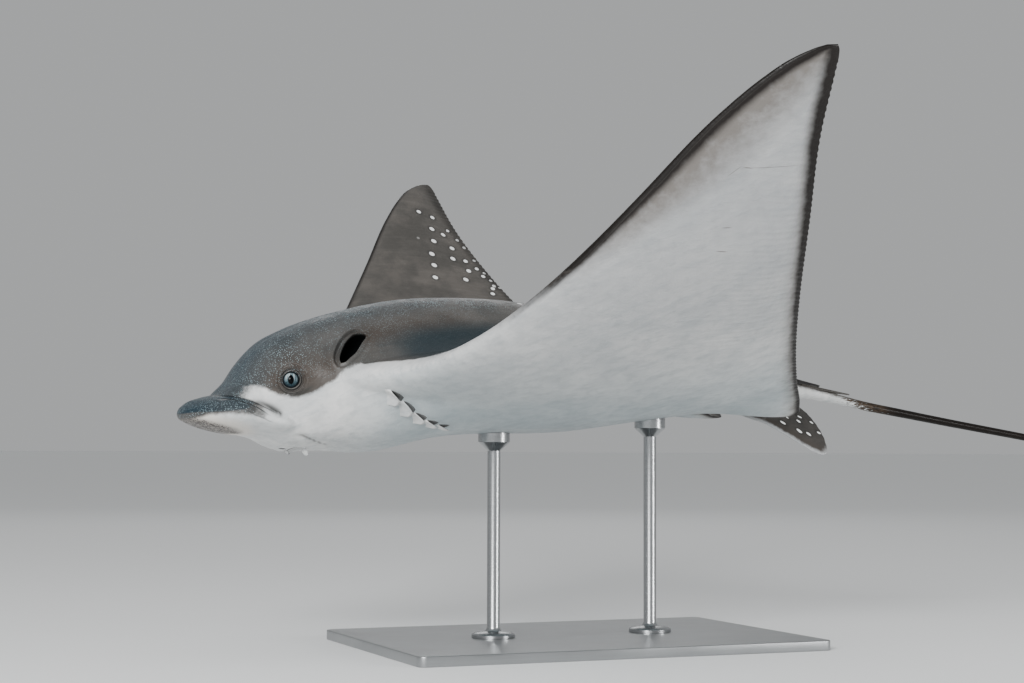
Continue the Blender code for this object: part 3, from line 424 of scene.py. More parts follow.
# The markings' fields
# Dark grey-brown above and white below, parted by a line through the cheek under the eye and
# along the rolled front edge of each wing. Each field is worked out at the skin's own points
# from that line, the edges and a few soft patches, and the finish reads it by name.
EYE_PLACE = (0.0838, 0.0662, 0.0204)
CHEEK_LINE = pairs(1000, 53.5, 15,  57.1, 16.5,  60.9, 16.8,  64.9, 15.2,  69, 12.4,  72.6, 10.4,
                   79, 8.4,  85, 7.6,  94.5, 9.3,  104.1, 13.3,  112.9, 19.7,  117.4, 22.9,
                   121.3, 27,  125.1, 30.2,  129.6, 32.2,  135.2, 33.8,  142, 34.5)
CHEEK_FRONT = pairs(1000, 6.1, 48.2,  9.3, 50.6,  12.5, 52.3,  14.9, 53.9,  18, 56.5)
LIP_LINE = pairs(1000, 13.5, -10.8,  18.8, -8.8,  24.7, -6.5,  31.2, -5.6,  38, -4.9,  45.2, -5.3,
                 54.1, -6.5,  64, -8.5)
DUST_LINE = pairs(1000, 9, -8,  12.9, -10.6,  20, -11.6,  27.5, -14,  35.9, -16.2,  44.5, -18.5,
                  52.4, -21.2,  59.1, -23.6)
GROOVE_LINE = pairs(1000, 30, 8,  35.5, 8.4,  40.2, 7.9,  45.3, 6.9,  51.4, 5.2,  58.4, 2.4,
                    64.3, -0.7,  71, -4.3,  78.4, -7.9)
TWIN_LINE = pairs(1000, 30, 5,  36.3, 5.2,  40.2, 5.3,  43.9, 5,  47.3, 4,  53.6, 1.1,  60.9, -2.8,
                  66.7, -6.8,  70.4, -9.2)
FOLD_LINE = pairs(1000, 48.9, -2.9,  52.5, -5.3,  57.1, -8,  61.7, -9.6,  68.2, -12.7,  74.6, -14.7)
GROOVE_START = 0.0325
GROOVE_END = 0.0800
HOLLOW_LINE = pairs(1000, 50, 7,  58.6, 3.8,  65.9, 0.9,  71.2, -2.1,  76, -5,  80.3, -7.8)
HOLLOW_WIDTH = pairs(1000, 50, 0.8,  58.6, 1.3,  65.9, 2.1,  72.5, 2.8,  77, 2.2,  81.5, 0.8)
CRESCENT_LINE = pairs(1000, 69, 17.5,  74.5, 14,  78.9, 11.2,  84.9, 9.1,  90.8, 9.6,  96.7, 12.7,
                      102, 16.5)
JAW_LINE = pairs(1000, 92, 49,  97.2, 47.2,  107.3, 41.6,  118.7, 32,  130.7, 20.9)
MOUTH_X = 0.0985
MOUTH_BOW = 6.0
MOUTH_HALF_WIDTH = 0.026
WHITE_ROLL = pairs(1, 60, 11,  85, 14.5,  100, 19,  115, 17.5,  160, 14,  220, 9,  270, 1,  300, -6,
                   500, -6)
LEAD_MARGIN = pairs(1, 200, 0.5,  240, 1.5,  280, 5,  330, 8.5,  400, 13,  460, 13,  500, 16)
LEAD_HAZE = pairs(1, 260, 12,  330, 45,  400, 85,  460, 80,  500, 60)
TRAIL_MARGIN = pairs(1, 50, 7,  120, 7.5,  200, 9,  300, 12,  380, 15,  440, 18,  500, 20)
MM = 1000 * DISC_WIDTH
BROWN_PATCHES = (((0.074, 0.061, 0.020), 0.010), ((0.086, 0.067, 0.026), 0.015),
                 ((0.100, 0.070, 0.026), 0.015), ((0.112, 0.074, 0.029), 0.012),
                 ((0.150, 0.071, 0.060), 0.014), ((0.170, 0.074, 0.066), 0.016),
                 ((0.192, 0.074, 0.071), 0.017), ((0.216, 0.074, 0.075), 0.017))
# Pale marks beside each eye, then painted wet glints along the crest; both thicken the pale specks.
GLINT_PATCHES = (((0.0792, 0.0497, 0.0449), 0.007), ((0.0851, 0.0582, 0.0422), 0.006),
                 ((0.0904, 0.0627, 0.0398), 0.006), ((0.2042, 0.0338, 0.0879), 0.009),
                 ((0.2180, 0.0366, 0.0877), 0.009), ((0.2334, 0.0385, 0.0875), 0.009),
                 ((0.2500, 0.0380, 0.0880), 0.009), ((0.2650, 0.0390, 0.0872), 0.009))
FIELDS = ("back", "margin", "haze", "brown", "blue", "shade", "speck_and_glint", "belly", "ink", "pit",
          "span", "dust", "groove", "twin", "fold", "jaw", "lid", "saddle_shade", "girth")
PLAIN = {"back": -30.0, "groove": 99.0, "twin": 99.0, "fold": 99.0, "jaw": 99.0, "dust": -99.0,
         "lid": 60.0}


def patches(points, places):
    """A field of soft round patches, mirrored to both sides."""
    spots = np.abs(points) * np.array([0, 1, 0]) + points * np.array([1, 0, 1])
    field = 0
    for centre, radius in places:
        away = np.linalg.norm(spots - np.array(centre), axis=-1)
        field = np.maximum(field, np.exp(-(away / radius) ** 2))
    return field


def head_line(points):
    """How far above the cheek's white a point of the head is, in millimetres."""
    x, z = points[..., 0], points[..., 2]
    above_lip = z - smooth(LIP_LINE, x)
    ahead = np.minimum(0.35 * (smooth(CHEEK_FRONT, z) - x), above_lip)
    lobe = np.minimum(above_lip, smooth(GROOVE_LINE, x) - z)
    lobe = np.minimum(lobe, (0.060 - x) * 0.35)
    return np.maximum(z - smooth(CHEEK_LINE, x), np.maximum(ahead, lobe)) * MM


def fields_of(points, span, side, lead=1.0, trail=1.0, part="head"):
    """All the fields of one sheet."""
    x, y, z = points[..., 0], np.abs(points[..., 1]), points[..., 2]
    back = head_line(points)
    if part == "wing":
        if side > 0:
            over = lead * MM - smooth(WHITE_ROLL, span)
            share = ease(x, 0.118, 0.150) * np.maximum(ease(span, 0.05, 0.10), ease(x, 0.20, 0.26))
            back = back * (1 - share) + over * share
        else:
            back = -np.minimum(lead, trail) * MM - 4 + 12 * ease(span, 0.28, 0.3) * (lead < 0.002)
    if part == "tail":
        back = (z - smooth(TAIL_LEVEL, x) - 0.68 * smooth(TAIL_HALF_HEIGHT, x)) * MM
    if part == "rump":
        low = smooth(WAIST, x) + 0.0005
        back = (z - low - (smooth(BACK, x) - 0.0018 - low) * ease(x, 0.53, 0.575)) * MM
        if side > 0:
            back = np.maximum(back, 9 - 40 * ease(x, 0.535, 0.585))
        else:
            back = np.minimum(back, -5)
    ray = 1.35 + 0.08 * np.cos(2 * math.pi * span / SCALLOP_PITCH)
    front = 1 - ease(lead * MM, 0.3 * smooth(LEAD_MARGIN, span), 1.35 * smooth(LEAD_MARGIN, span))
    rear = 1 - ease(trail * MM, 0.35 * smooth(TRAIL_MARGIN, span), ray * smooth(TRAIL_MARGIN, span))
    if side > 0:
        front = 1 - ease(lead * MM, 1, 7)
    front = front * ease(span, 0.2, 0.3)
    rear = rear * ease(span, 0.045, 0.055)
    margin = np.maximum(front, rear * (1.0 if side < 0 else 0.5))
    haze = 1 - ease(lead * MM, 0.1 * smooth(LEAD_HAZE, span), smooth(LEAD_HAZE, span))
    haze = np.maximum(haze * ease(span, 0.26, 0.36), 0.8 - 0.8 * ease(trail * MM, 4, 28))
    crest = np.exp(-(y / 0.045) ** 2) * ease(x, 0.03, 0.05) * (1 - ease(x, 0.36, 0.5)) * (side > 0)
    crown = np.exp(-(y / 0.058) ** 2) * (1 - ease(x, 0.12, 0.30)) * (side > 0)
    line = head_line(points)
    lobe_top = (1 - ease(x, 0.048, 0.076)) * ease(line, -1, 3) * (z < smooth(GROOVE_LINE, x))
    on_head = part == "head"
    # Painted shade: a soft band in the hollow behind the snout's groove, and a crescent under each
    # eye.
    hollow = np.exp(-((z - smooth(HOLLOW_LINE, x)) / smooth(HOLLOW_WIDTH, x)) ** 2)
    hollow = hollow * ease(x, 0.050, 0.068) * (1 - ease(x, 0.078, 0.082)) * (y > 0.03) * on_head
    crescent = np.exp(-((z - smooth(CRESCENT_LINE, x)) / 0.0019) ** 2)
    crescent = crescent * ease(x, 0.069, 0.078) * (1 - ease(x, 0.096, 0.103)) * (y > 0.04) * on_head
    inside = np.minimum(lobe_half_width(x) - y, 1.2 * (x - LOBE_TIP))
    dust = (smooth(DUST_LINE, x) - z) * MM - 9 * ease(inside, 0.030, 0.062)
    dust = dust - 16 * ease(x, 0.053, 0.076) - 34 * ease(x, 0.070, 0.096)
    eye_away = np.linalg.norm(np.stack([x, y, z], -1) - np.array(EYE_PLACE), axis=-1)
    # Painted shade over the hollow between the back and each wing's root, on the upper side.
    saddle_shade = ease(span, 0.066, 0.088) * (1 - ease(span, 0.15, 0.24))
    saddle_shade = saddle_shade * ease(x, 0.145, 0.185) * (1 - ease(x, 0.28, 0.42))
    # Painted blue-grey shade along the underside of the trunk.
    belly = (side < 0) * np.exp(-(span / 0.17) ** 4)
    girth = np.cumsum(np.linalg.norm(np.diff(points, axis=1), axis=-1), axis=1)
    return {
        "back": back,
        "margin": margin * (part == "wing"),
        "haze": haze * (part == "wing"),
        "brown": patches(points, BROWN_PATCHES),
        "blue": np.clip(0.75 * crown + 0.25 * crest + 0.35 * lobe_top, 0, 1),
        "shade": np.maximum(hollow, 0.8 * crescent),
        # Pale specks, with painted glints of wet highlight along the crest.
        "speck_and_glint": np.clip(0.9 * (crest + crown) + lobe_top, 0, 1) + patches(points, GLINT_PATCHES),
        "belly": belly * ease(x, 0.115, 0.19) * (1 - ease(x, 0.50, 0.55)),
        "ink": ease(x, 0.608, 0.70) * (part == "tail"),
        "pit": 0 * x,
        "span": span,
        "dust": dust if on_head else -99.0 + 0 * x,
        **{name: (z - smooth(line, x)) * MM if on_head else 99.0 + 0 * x
           for name, line in (("groove", GROOVE_LINE), ("twin", TWIN_LINE), ("fold", FOLD_LINE))},
        "jaw": np.where(z < -0.01, y - smooth(JAW_LINE, x), 0.1) * MM,
        "lid": np.minimum(eye_away * MM, 60.0),
        "saddle_shade": saddle_shade * (side > 0) * (part == "wing"),
        "girth": np.concatenate([0 * x[:, :1], girth], axis=1),
    }


def crease(points):
    """Press the groove over the snout, the jaw's fold and the mouth into the skin."""
    x, y, z = points[..., 0], points[..., 1], points[..., 2]
    along = ease(x, GROOVE_START, 0.040) * (1 - ease(x, 0.070, GROOVE_END)) * (y > 0.02)
    groove = np.exp(-((z - smooth(TWIN_LINE, x)) / 0.0016) ** 2)
    hollow = np.exp(-((z - smooth(HOLLOW_LINE, x)) / 0.0030) ** 2) * ease(x, 0.05, 0.062)
    push = 0.0010 * groove * along + 0.0012 * hollow * (1 - ease(x, 0.076, 0.084)) * (y > 0.03)
    points = points - np.stack([0 * x, push, 0 * z], -1)
    jaw = np.exp(-((y - smooth(JAW_LINE, x)) / 0.0034) ** 2) * ease(x, 0.090, 0.099)
    press = 0.0020 * jaw * (1 - ease(x, 0.126, 0.138)) * (z < -0.01)
    lip = np.abs(x - MOUTH_X - MOUTH_BOW * y * y)
    mouth = 0.0010 * np.exp(-(lip / 0.0014) ** 2) - 0.0008 * np.exp(-((lip - 0.0036) / 0.0017) ** 2)
    press = press + mouth * (1 - ease(y, MOUTH_HALF_WIDTH - 0.008, MOUTH_HALF_WIDTH)) * (z < -0.01)
    return points + np.stack([0 * x, 0 * y, press], -1)


def body_sheets():
    """The right half of the skin, as grids of points with their fields."""
    chord = (1 - np.cos(np.linspace(0, math.pi, WING_ROWS + 1))) / 2
    inner = SHOULDER_SPAN * np.sin(np.linspace(0, math.pi / 2, TRUNK_COLUMNS + 1))
    share = np.linspace(0, 1, WING_COLUMNS + 1)[1:]
    outer = SHOULDER_SPAN + (HALF_SPAN - SHOULDER_SPAN) * share
    span = np.concatenate([inner, outer])
    head_x = LOBE_TIP + (SHOULDER_X - LOBE_TIP) * np.linspace(0, 1, HEAD_ROWS + 1) ** 1.25
    head_skew = ease(head_x, 0.045, SHOULDER_X)
    head_border = (SHOULDER_X, LEADING_EDGE, LEAD_BEND, LEAD_LEVEL)
    rump_x = np.linspace(RUMP_X, TAIL_START, RUMP_ROWS + 1)
    rump_skew = 1 - ease(rump_x, RUMP_X, 0.55)
    rump_border = (RUMP_X, TRAILING_EDGE, TRAIL_BEND, TRAIL_LEVEL)
    sheets = []
    for side in (1, -1):
        wing, wing_span, lead, trail = wing_sheet(chord, span, side)
        head, head_reach = trunk_sheet(head_x, head_skew, head_border, side, TRUNK_COLUMNS)
        miss = wing[0, :TRUNK_COLUMNS + 1] - head[-1]
        head = head + (head_skew ** 2)[:, None, None] * miss
        rump, rump_reach = trunk_sheet(rump_x, rump_skew, rump_border, side, RUMP_COLUMNS)
        miss = wing[-1, :RUMP_COLUMNS + 1] - rump[0]
        rump = rump + (rump_skew ** 2)[:, None, None] * miss
        tail = tail_sheet(side, RUMP_COLUMNS)
        head[-1] = wing[0, :TRUNK_COLUMNS + 1]
        rump[0] = wing[-1, :RUMP_COLUMNS + 1]
        tail[0] = rump[-1]
        tail_reach = tail[..., 1]
        sheets += [(swell(crease(head)), fields_of(head, head_reach, side)),
                   (swell(crease(wing)), fields_of(wing, wing_span, side, lead, trail, "wing")),
                   (rump, fields_of(rump, rump_reach, side, part="rump")),
                   (tail, fields_of(tail, tail_reach, side, part="tail"))]
    return sheets


def weld_skin():
    """Mirror the sheets, join them along their borders, and keep the fields at each point."""
    points, faces, values, start = [], [], [], 0
    for sheet, fields in body_sheets():
        rows, columns = sheet.shape[:2]
        index = np.arange(rows * columns).reshape(rows, columns)
        quads = np.stack([index[:-1, :-1], index[1:, :-1], index[1:, 1:], index[:-1, 1:]], -1)
        for side in (1, -1):
            half = sheet * np.array([1, side, 1])
            half[..., 1] += smooth(TAIL_SWAY, half[..., 0])
            points.append(in_metres(half).reshape(-1, 3))
            faces.append(quads.reshape(-1, 4) + start)
            fields = dict(fields, girth=np.abs(fields["girth"]) * side)
            values.append(np.stack([fields[name].reshape(-1) for name in FIELDS], -1))
            start += rows * columns
    mesh = bpy.data.meshes.new("skin_sheets")
    mesh.from_pydata(np.concatenate(points).tolist(), [], np.concatenate(faces).tolist())
    values = np.concatenate(values)
    for k, name in enumerate(FIELDS):
        mesh.attributes.new(name, "FLOAT", "POINT").data.foreach_set("value", values[:, k].copy())
    shape = bmesh.new()
    shape.from_mesh(mesh)
    bpy.data.meshes.remove(mesh)
    bmesh.ops.remove_doubles(shape, verts=shape.verts, dist=0.00002)
    bmesh.ops.dissolve_degenerate(shape, dist=0.00001, edges=shape.edges)
    bmesh.ops.recalc_face_normals(shape, faces=shape.faces)
    return shape


skin_shape = weld_skin()
layers = {name: skin_shape.verts.layers.float[name] for name in FIELDS}
skin_shape.verts.index_update()
skin_shape.faces.ensure_lookup_table()
skin_tree = BVHTree.FromBMesh(skin_shape)
skin_corners = [[v.index for v in f.verts] for f in skin_shape.faces]
skin_places = [v.co.copy() for v in skin_shape.verts]
skin_values = np.array([[v[layers[name]] for name in FIELDS] for v in skin_shape.verts])


# Eyes, spiracles and nostrils in the skin
# Each is a round of skin that is taken out and laid again in close rings: lids that roll over
# the eyeball, the rim and throat of the breathing hole behind it, and a slanted pit for each
# nostril in front of the mouth.
EYE_AXIS = Vector((-0.30, 0.95, 0.05)).normalized()
EYE_RADIUS = 0.0136
EYE_OPENING = 0.0100
EYE_PATCH = (0.0178, 0.0178)
SPIRACLE_PLACE = (0.1337, 0.0715, 0.0452)
SPIRACLE_RUN = (0.0222, -0.0082, 0.0234)
SPIRACLE_AXIS = Vector((-0.25, 0.78, 0.57)).normalized()
SPIRACLE_LENGTH = 0.0272
SPIRACLE_WIDTH = 0.0115
SPIRACLE_FRONT = ((-1, 0), (-0.9, 0.0040), (-0.76, 0.0068), (-0.4, 0.0106), (0, 0.0128),
                  (0.31, 0.0124), (0.62, 0.0110), (0.81, 0.0078), (0.95, 0.0036), (1, 0))
SPIRACLE_REAR = ((-1, 0), (-0.9, 0.0028), (-0.57, 0.0056), (-0.23, 0.0080), (0.07, 0.0074),
                 (0.49, 0.0056), (0.82, 0.0044), (0.95, 0.0026), (1, 0))
NOSTRIL_PLACE = (0.0910, 0.0165)
NOSTRIL_PATCH = (0.0100, 0.0072)
OUTSIDE = 0.2


def mirrored(vector, side):
    """A place or direction on the right side, taken to the left where side is -1."""
    return Vector((vector[0], vector[1] * side, vector[2]))


def surface(place, axis):
    """Where a line from outside along -axis meets the skin, and its normal there."""
    axis = Vector(axis).normalized()
    spot, normal, _, _ = skin_tree.ray_cast(Vector(in_metres(place)) + axis * OUTSIDE, -axis)
    return spot, normal


def axes_from(normal, run):
    """Three square directions: run laid flat to the normal, across it, and the normal."""
    out = Vector(normal).normalized()
    along = Vector(run)
    along = (along - out * along.dot(out)).normalized()
    return along, out.cross(along), out


def set_fields(vertex, place, **others):
    """Give a new vertex the fields of the first skin at the nearest place on it."""
    spot, _, face, _ = skin_tree.find_nearest(place)
    corners = skin_corners[face]
    weights = poly_3d_calc([skin_places[k] for k in corners], spot)
    values = np.array(weights) @ skin_values[corners]
    for name, value in zip(FIELDS, values):
        vertex[layers[name]] = others.get(name, float(value))


def lay_rings(shape, centre, axes, outer, rings, depth, darker=0.0):
    """Take out the skin inside an ellipse and lay rings of it again, down to a closed floor.

    Where darker is given, the grey of the back is drawn further in over each ring.
    """
    along, across, out = axes

    def flat(spot):
        away = spot - centre
        return away.dot(along) / outer[0], away.dot(across) / outer[1], away.dot(out)

    inside = []
    for vertex in shape.verts:
        if (vertex.co - centre).length < 2 * max(outer):
            u, v, w = flat(vertex.co)
            if math.hypot(u, v) < 1 and abs(w) < depth:
                inside.append(vertex)
    bmesh.ops.delete(shape, geom=inside, context="VERTS")
    rim = {}
    for edge in shape.edges:
        if edge.is_boundary and (edge.verts[0].co - centre).length < 3 * max(outer):
            for vertex in edge.verts:
                rim.setdefault(vertex, []).append(edge.other_vert(vertex))
    loop = [next(iter(rim))]
    while True:
        follow = [v for v in rim[loop[-1]] if len(loop) < 2 or v is not loop[-2]]
        if follow[0] is loop[0]:
            break
        loop.append(follow[0])
    turns = np.unwrap([math.atan2(flat(v.co)[1], flat(v.co)[0]) for v in loop])
    full = 2 * math.pi * (1 if turns[-1] > turns[0] else -1)
    for _ in range(12):
        before = np.concatenate([[turns[-1] - full], turns[:-1]])
        after = np.concatenate([turns[1:], [turns[0] + full]])
        turns = (before + 2 * turns + after) / 4

    def on_skin(u, v):
        start = centre + along * u + across * v + out * 0.06
        spot = skin_tree.ray_cast(start, -out)[0]
        return spot if spot else start - out * 0.06

    for vertex, turn in zip(loop, turns):
        vertex.co = on_skin(outer[0] * math.cos(turn), outer[1] * math.sin(turn))
    whole = [loop]
    for outline, lift, pit in rings:
        ring = []
        for turn in turns:
            u, v = outline(turn)
            spot = on_skin(u, v)
            vertex = shape.verts.new(spot + out * lift(turn))
            # Each ring carries painted shade for the hole, darkest on its floor.
            set_fields(vertex, spot, pit=pit)
            vertex[layers["back"]] = max(vertex[layers["back"]], len(whole) * darker - 24)
            ring.append(vertex)
        whole.append(ring)
    bridge(shape, whole)
    middle = cap(shape, ring, centre_of(ring))
    set_fields(middle, middle.co, pit=1.0)


def oval_ring(width, height, lift, pit=0.0):
    """An oval outline with one lift."""
    return lambda t: (width * math.cos(t), height * math.sin(t)), lambda t: lift, pit


def leaf_ring(grow, lift, pit, share, front=0.0):
    """An outline between the wide oval round the spiracle (share 0) and its leaf shape (1)."""
    def outline(t):
        reach = 2.0 if math.sin(t) > 0 else 2.5
        wide = (1.42 * SPIRACLE_LENGTH * math.cos(t), reach * SPIRACLE_WIDTH * math.sin(t))
        edge = SPIRACLE_REAR if math.sin(t) > 0 else SPIRACLE_FRONT
        slim = float(smooth(edge, math.cos(t))) * math.copysign(1, math.sin(t))
        leaf = (SPIRACLE_LENGTH * grow * math.cos(t), grow * slim)
        return tuple(w * (1 - share) + s * share for w, s in zip(wide, leaf))
    return outline, lambda t: lift + front * max(0.0, -math.sin(t)), pit


EYE_RINGS = [oval_ring(spec[0], *spec) for spec in (
    (0.0170, 0.0002), (0.0158, 0.0005), (0.0148, 0.0007), (0.0141, 0.0004), (0.0136, -0.0002),
    (0.0131, 0.0003), (0.0125, 0.0011), (0.0119, 0.0016), (0.0113, 0.0018), (0.0107, 0.0015),
    (0.0103, 0.0009, 0.3), (0.0101, 0.0002, 0.7), (0.0103, -0.0010, 1.0), (0.0112, -0.0032, 1.0),
    (0.0128, -0.0060, 1.0), (0.0140, -0.0110, 1.0), (0.0100, -0.0220, 1.0), (0.0040, -0.0240, 1.0))]
SPIRACLE_RINGS = [leaf_ring(*spec) for spec in (
    (1, 0.0000, 0.0, 0.12), (1, 0.0001, 0.0, 0.24, 0.0010), (1, 0.0002, 0.0, 0.34, 0.0024),
    (1, 0.0003, 0.0, 0.42, 0.0028), (1, 0.0002, 0.05, 0.50, 0.0006),
    (1, 0.0001, 0.22, 0.57, -0.0026), (1, 0.0001, 0.15, 0.66, -0.0042),
    (1, 0.0004, 0.05, 0.76, -0.0040), (1, 0.0007, 0.0, 0.86, -0.0024),
    (1, 0.0010, 0.0, 0.93, -0.0006), (1, 0.0012, 0.0, 0.97, 0.0006),
    (1, 0.0004, 0.2, 1.0, 0.0002), (0.97, -0.0010, 0.8, 1.0), (0.94, -0.0030, 1.0, 1.0),
    (0.91, -0.0070, 1.0, 1.0), (0.86, -0.0130, 1.0, 1.0), (0.75, -0.0190, 1.0, 1.0),
    (0.50, -0.0230, 1.0, 1.0), (0.20, -0.0245, 1.0, 1.0))]
NOSTRIL_RINGS = [oval_ring(0.0072 * spec[0], 0.0042 * spec[0], *spec[1:]) for spec in (
    (0.96, 0.0002, 0), (0.9, 0.0006, 0), (0.82, 0.0007, 0.1), (0.74, 0.0, 0.6),
    (0.68, -0.002, 1.0), (0.6, -0.005, 1.0), (0.35, -0.007, 1.0))]
eye_places = {}
for side, word in ((-1, "left"), (1, "right")):
    out = mirrored(EYE_AXIS, side)
    spot, _ = surface(mirrored(EYE_PLACE, side), out)
    eye_places[word] = (spot, out)
    lay_rings(skin_shape, spot, axes_from(out, (1, 0, 0)), EYE_PATCH, EYE_RINGS, 0.02)
    out = mirrored(SPIRACLE_AXIS, side)
    spot, _ = surface(mirrored(SPIRACLE_PLACE, side), out)
    axes = axes_from(out, mirrored(SPIRACLE_RUN, side))
    if side < 0:
        axes = (axes[0], -axes[1], axes[2])
    lay_rings(skin_shape, spot, axes, (1.5 * SPIRACLE_LENGTH, 2.7 * SPIRACLE_WIDTH),
              SPIRACLE_RINGS, 0.03, 3.5)
    x, y = NOSTRIL_PLACE
    spot, normal = surface((x, y * side, 0), (0, 0, -1))
    axes = axes_from(normal, (0.5, side, 0))
    lay_rings(skin_shape, spot, axes, NOSTRIL_PATCH, NOSTRIL_RINGS, 0.02)


# Gill flaps and fins
# Five flaps of skin on each side of the throat, each free along its rear edge over a slit
# that is painted dark as shade, two papillae under the chin, the pelvic fins beside the tail's
# root and the small dorsal fin on it. Each is a closed form whose root is sunk in the body's skin.
GILL_FIRST = (0.161, 0.0975)
GILL_LAST = (0.210, 0.0735)
GILL_COUNT = 5
GILL_LENGTH = 0.028
GILL_HALF_WIDTH = 0.017
GILL_STAND_OFF = 0.0075
PELVIC_FRONT = ((0, 0.492, 0.027, 0.006), (0.16, 0.508, 0.038, -0.004),
                (0.36, 0.5245, 0.046, -0.0105), (0.65, 0.5494, 0.051, -0.0240),
                (1, 0.5790, 0.056, -0.0425))
PELVIC_REAR = ((0, 0.560, 0.008, 0.014), (0.16, 0.568, 0.018, 0.009), (0.36, 0.574, 0.030, 0.002),
               (0.65, 0.582, 0.040, -0.0110), (1, 0.5895, 0.052, -0.0315))
PELVIC_DROOP = {"left": 1.0, "right": 0.25}
PELVIC_ROOT_HALF_THICKNESS = 0.004
FIN_SPOTS_START = 10.0
DORSAL_LEVEL = 0.0218
DORSAL_FRONT = pairs(1000, -12, 530,  0, 540,  10, 551,  18, 561,  22, 568)
DORSAL_REAR = pairs(1000, -12, 592,  0, 604,  3, 611,  6, 599,  8.5, 588,  18, 576,  22, 573)
DORSAL_HALF_THICKNESS = 0.0042
PAPILLAE = (((0.0965, -0.0097, 0), 0.0078, 0.0023), ((0.1095, -0.0180, 0), 0.0120, 0.0040))


def close_grid(shape, rows, fields):
    """A closed tube through rows of points, with its ends fanned shut, and its fields."""
    loops = []
    for row, row_fields in zip(rows, fields):
        loop = []
        for spot, values in zip(row, row_fields):
            vertex = shape.verts.new(spot)
            for name in FIELDS:
                vertex[layers[name]] = values.get(name, PLAIN.get(name, 0.0))
            loop.append(vertex)
        loops.append(loop)
    bridge(shape, loops)
    for loop in (loops[0], loops[-1]):
        middle = cap(shape, loop, centre_of(loop))
        for name in FIELDS:
            middle[layers[name]] = loop[0][layers[name]]


def make_gill(shape, side, share):
    """One gill flap: a pointed tongue that lifts off the throat over its slit."""
    x = GILL_FIRST[0] + (GILL_LAST[0] - GILL_FIRST[0]) * share
    y = GILL_FIRST[1] + (GILL_LAST[1] - GILL_FIRST[1]) * share
    spot, normal = surface((x, y * side, 0), (0, 0, -1))
    along, across, out = axes_from(normal, (1, 0.45 * side, 0))
    across = across * side
    width = GILL_HALF_WIDTH * (1 - 0.5 * share)
    length = GILL_LENGTH * (1 - 0.4 * share)

    def on_throat(u, v, lift):
        """A point u of the tongue's length from its root and v across it, off the throat."""
        point = max(0.0, 1 - abs(v - 0.12) / 1.1) ** 0.8
        back = (u - 1) * length + u * (0.007 * point - 0.005 * abs(v) ** 3)
        place = spot + along * back + across * (width * v)
        touch = skin_tree.ray_cast(place + out * 0.05, -out)[0] or place
        return touch + out * lift

    rows, fields = [], []
    for v in np.linspace(-1, 1, 19):
        fade = math.sqrt(max(1 - v * v, 0.0))
        top, low = [], []
        for u in np.linspace(0, 1, 10):
            lift = -0.0012 + (GILL_STAND_OFF * fade + 0.0012) * u ** 2.8
            top.append((on_throat(u, v, lift), {}))
            # The flap's underside carries painted shade, deeper towards its free edge.
            low.append((on_throat(u, v, lift - 0.0007 - 0.0012 * (1 - u)), {"pit": 0.6 * u}))
        ring = top + low[::-1]
        rows.append([place for place, _ in ring])
        fields.append([values for _, values in ring])
    close_grid(shape, rows, fields)
    # A strip of painted shade lies in the slit under the flap's free edge.
    rows = []
    for v in np.linspace(-0.94, 0.94, 17):
        fade = math.sqrt(1 - v * v)
        rows.append([on_throat(u, v, lift) for u, lift in (
            (0.72, 0.0003), (1.0, 0.0004), (1.0 + 0.10 * fade, 0.0003), (1.0 + 0.10 * fade, -0.001),
            (0.72, -0.001))])
    close_grid(shape, rows, [[{"pit": 0.8}] * 5] * 17)


def foil_ring(centre, width, normal, half_width, half_thickness, columns, ridge=0.0, rays=0):
    """A thin section, thickest in the middle, with low rays raised in its surface."""
    top, low = [], []
    for k in range(columns + 1):
        v = -math.cos(math.pi * k / columns)
        rise = half_thickness * math.sqrt(max(1 - v * v, 0)) ** 0.8
        rise += ridge * (0.5 + 0.5 * math.cos(math.pi * v * rays)) * (1 - v * v)
        spot = centre + width * (half_width * v)
        top.append(spot + normal * rise)
        low.append(spot - normal * rise)
    return top + low[-2:0:-1]


def fin_edge(table, u, side, droop):
    """A point along a fin's edge, u from its root (0) to its tip (1), in metres."""
    rows = np.array(table)
    x, y, z = [float(smooth(rows[:, [0, k]], u)) for k in (1, 2, 3)]
    level = rows[0, 3] + (z - rows[0, 3]) * droop
    return Vector(in_metres((x, y * side, level)))


def make_pelvic_fin(shape, side, droop):
    """A paddle that hangs beside the tail's root: dark above, white along its front edge."""
    rows, fields = [], []
    columns = 28
    for u in np.concatenate([np.linspace(0, 0.9, 31), 1 - 0.1 * np.linspace(0.9, 0.03, 12) ** 2]):
        front = fin_edge(PELVIC_FRONT, u, side, droop)
        rear = fin_edge(PELVIC_REAR, u, side, droop)
        ahead = (fin_edge(PELVIC_FRONT, u + 0.02, side, droop)
                 - fin_edge(PELVIC_FRONT, u - 0.02, side, droop))
        width = (rear - front).normalized()
        normal = width.cross(ahead).normalized() * side
        half_width = (rear - front).length / 2 * math.sqrt(1 - u ** 12)
        half_width += 0.0006 * math.sin(60 * u) * u
        half_thick = PELVIC_ROOT_HALF_THICKNESS * (1 - u) ** 1.5 + 0.0011
        ring = foil_ring((front + rear) / 2, width, normal, half_width, half_thick, columns,
                         0.0003, 8)
        rows.append(ring)
        values = []
        for k in range(len(ring)):
            upper = k <= columns
            step = k if upper else 2 * columns - k
            from_front = half_width * (1 - math.cos(math.pi * step / columns)) * 1000
            from_tip = (1 - u) * 60
            from_root = max((u - 0.36) * 110 + 0.4 * from_front, (0.30 - u) * 110)
            edge = min(from_front - 6.2, from_tip - 3.0, from_root)
            front_share = math.exp(-(from_front / 16) ** 2)
            values.append({"back": edge if upper else -20.0,
                           "ink": 0.38 * upper * (1 - 0.8 * front_share) * min(1, 2 * u),
                           "brown": 0.8 * front_share,
                           "span": FIN_SPOTS_START + from_front / 1000})
        fields.append(values)
    close_grid(shape, rows, fields)


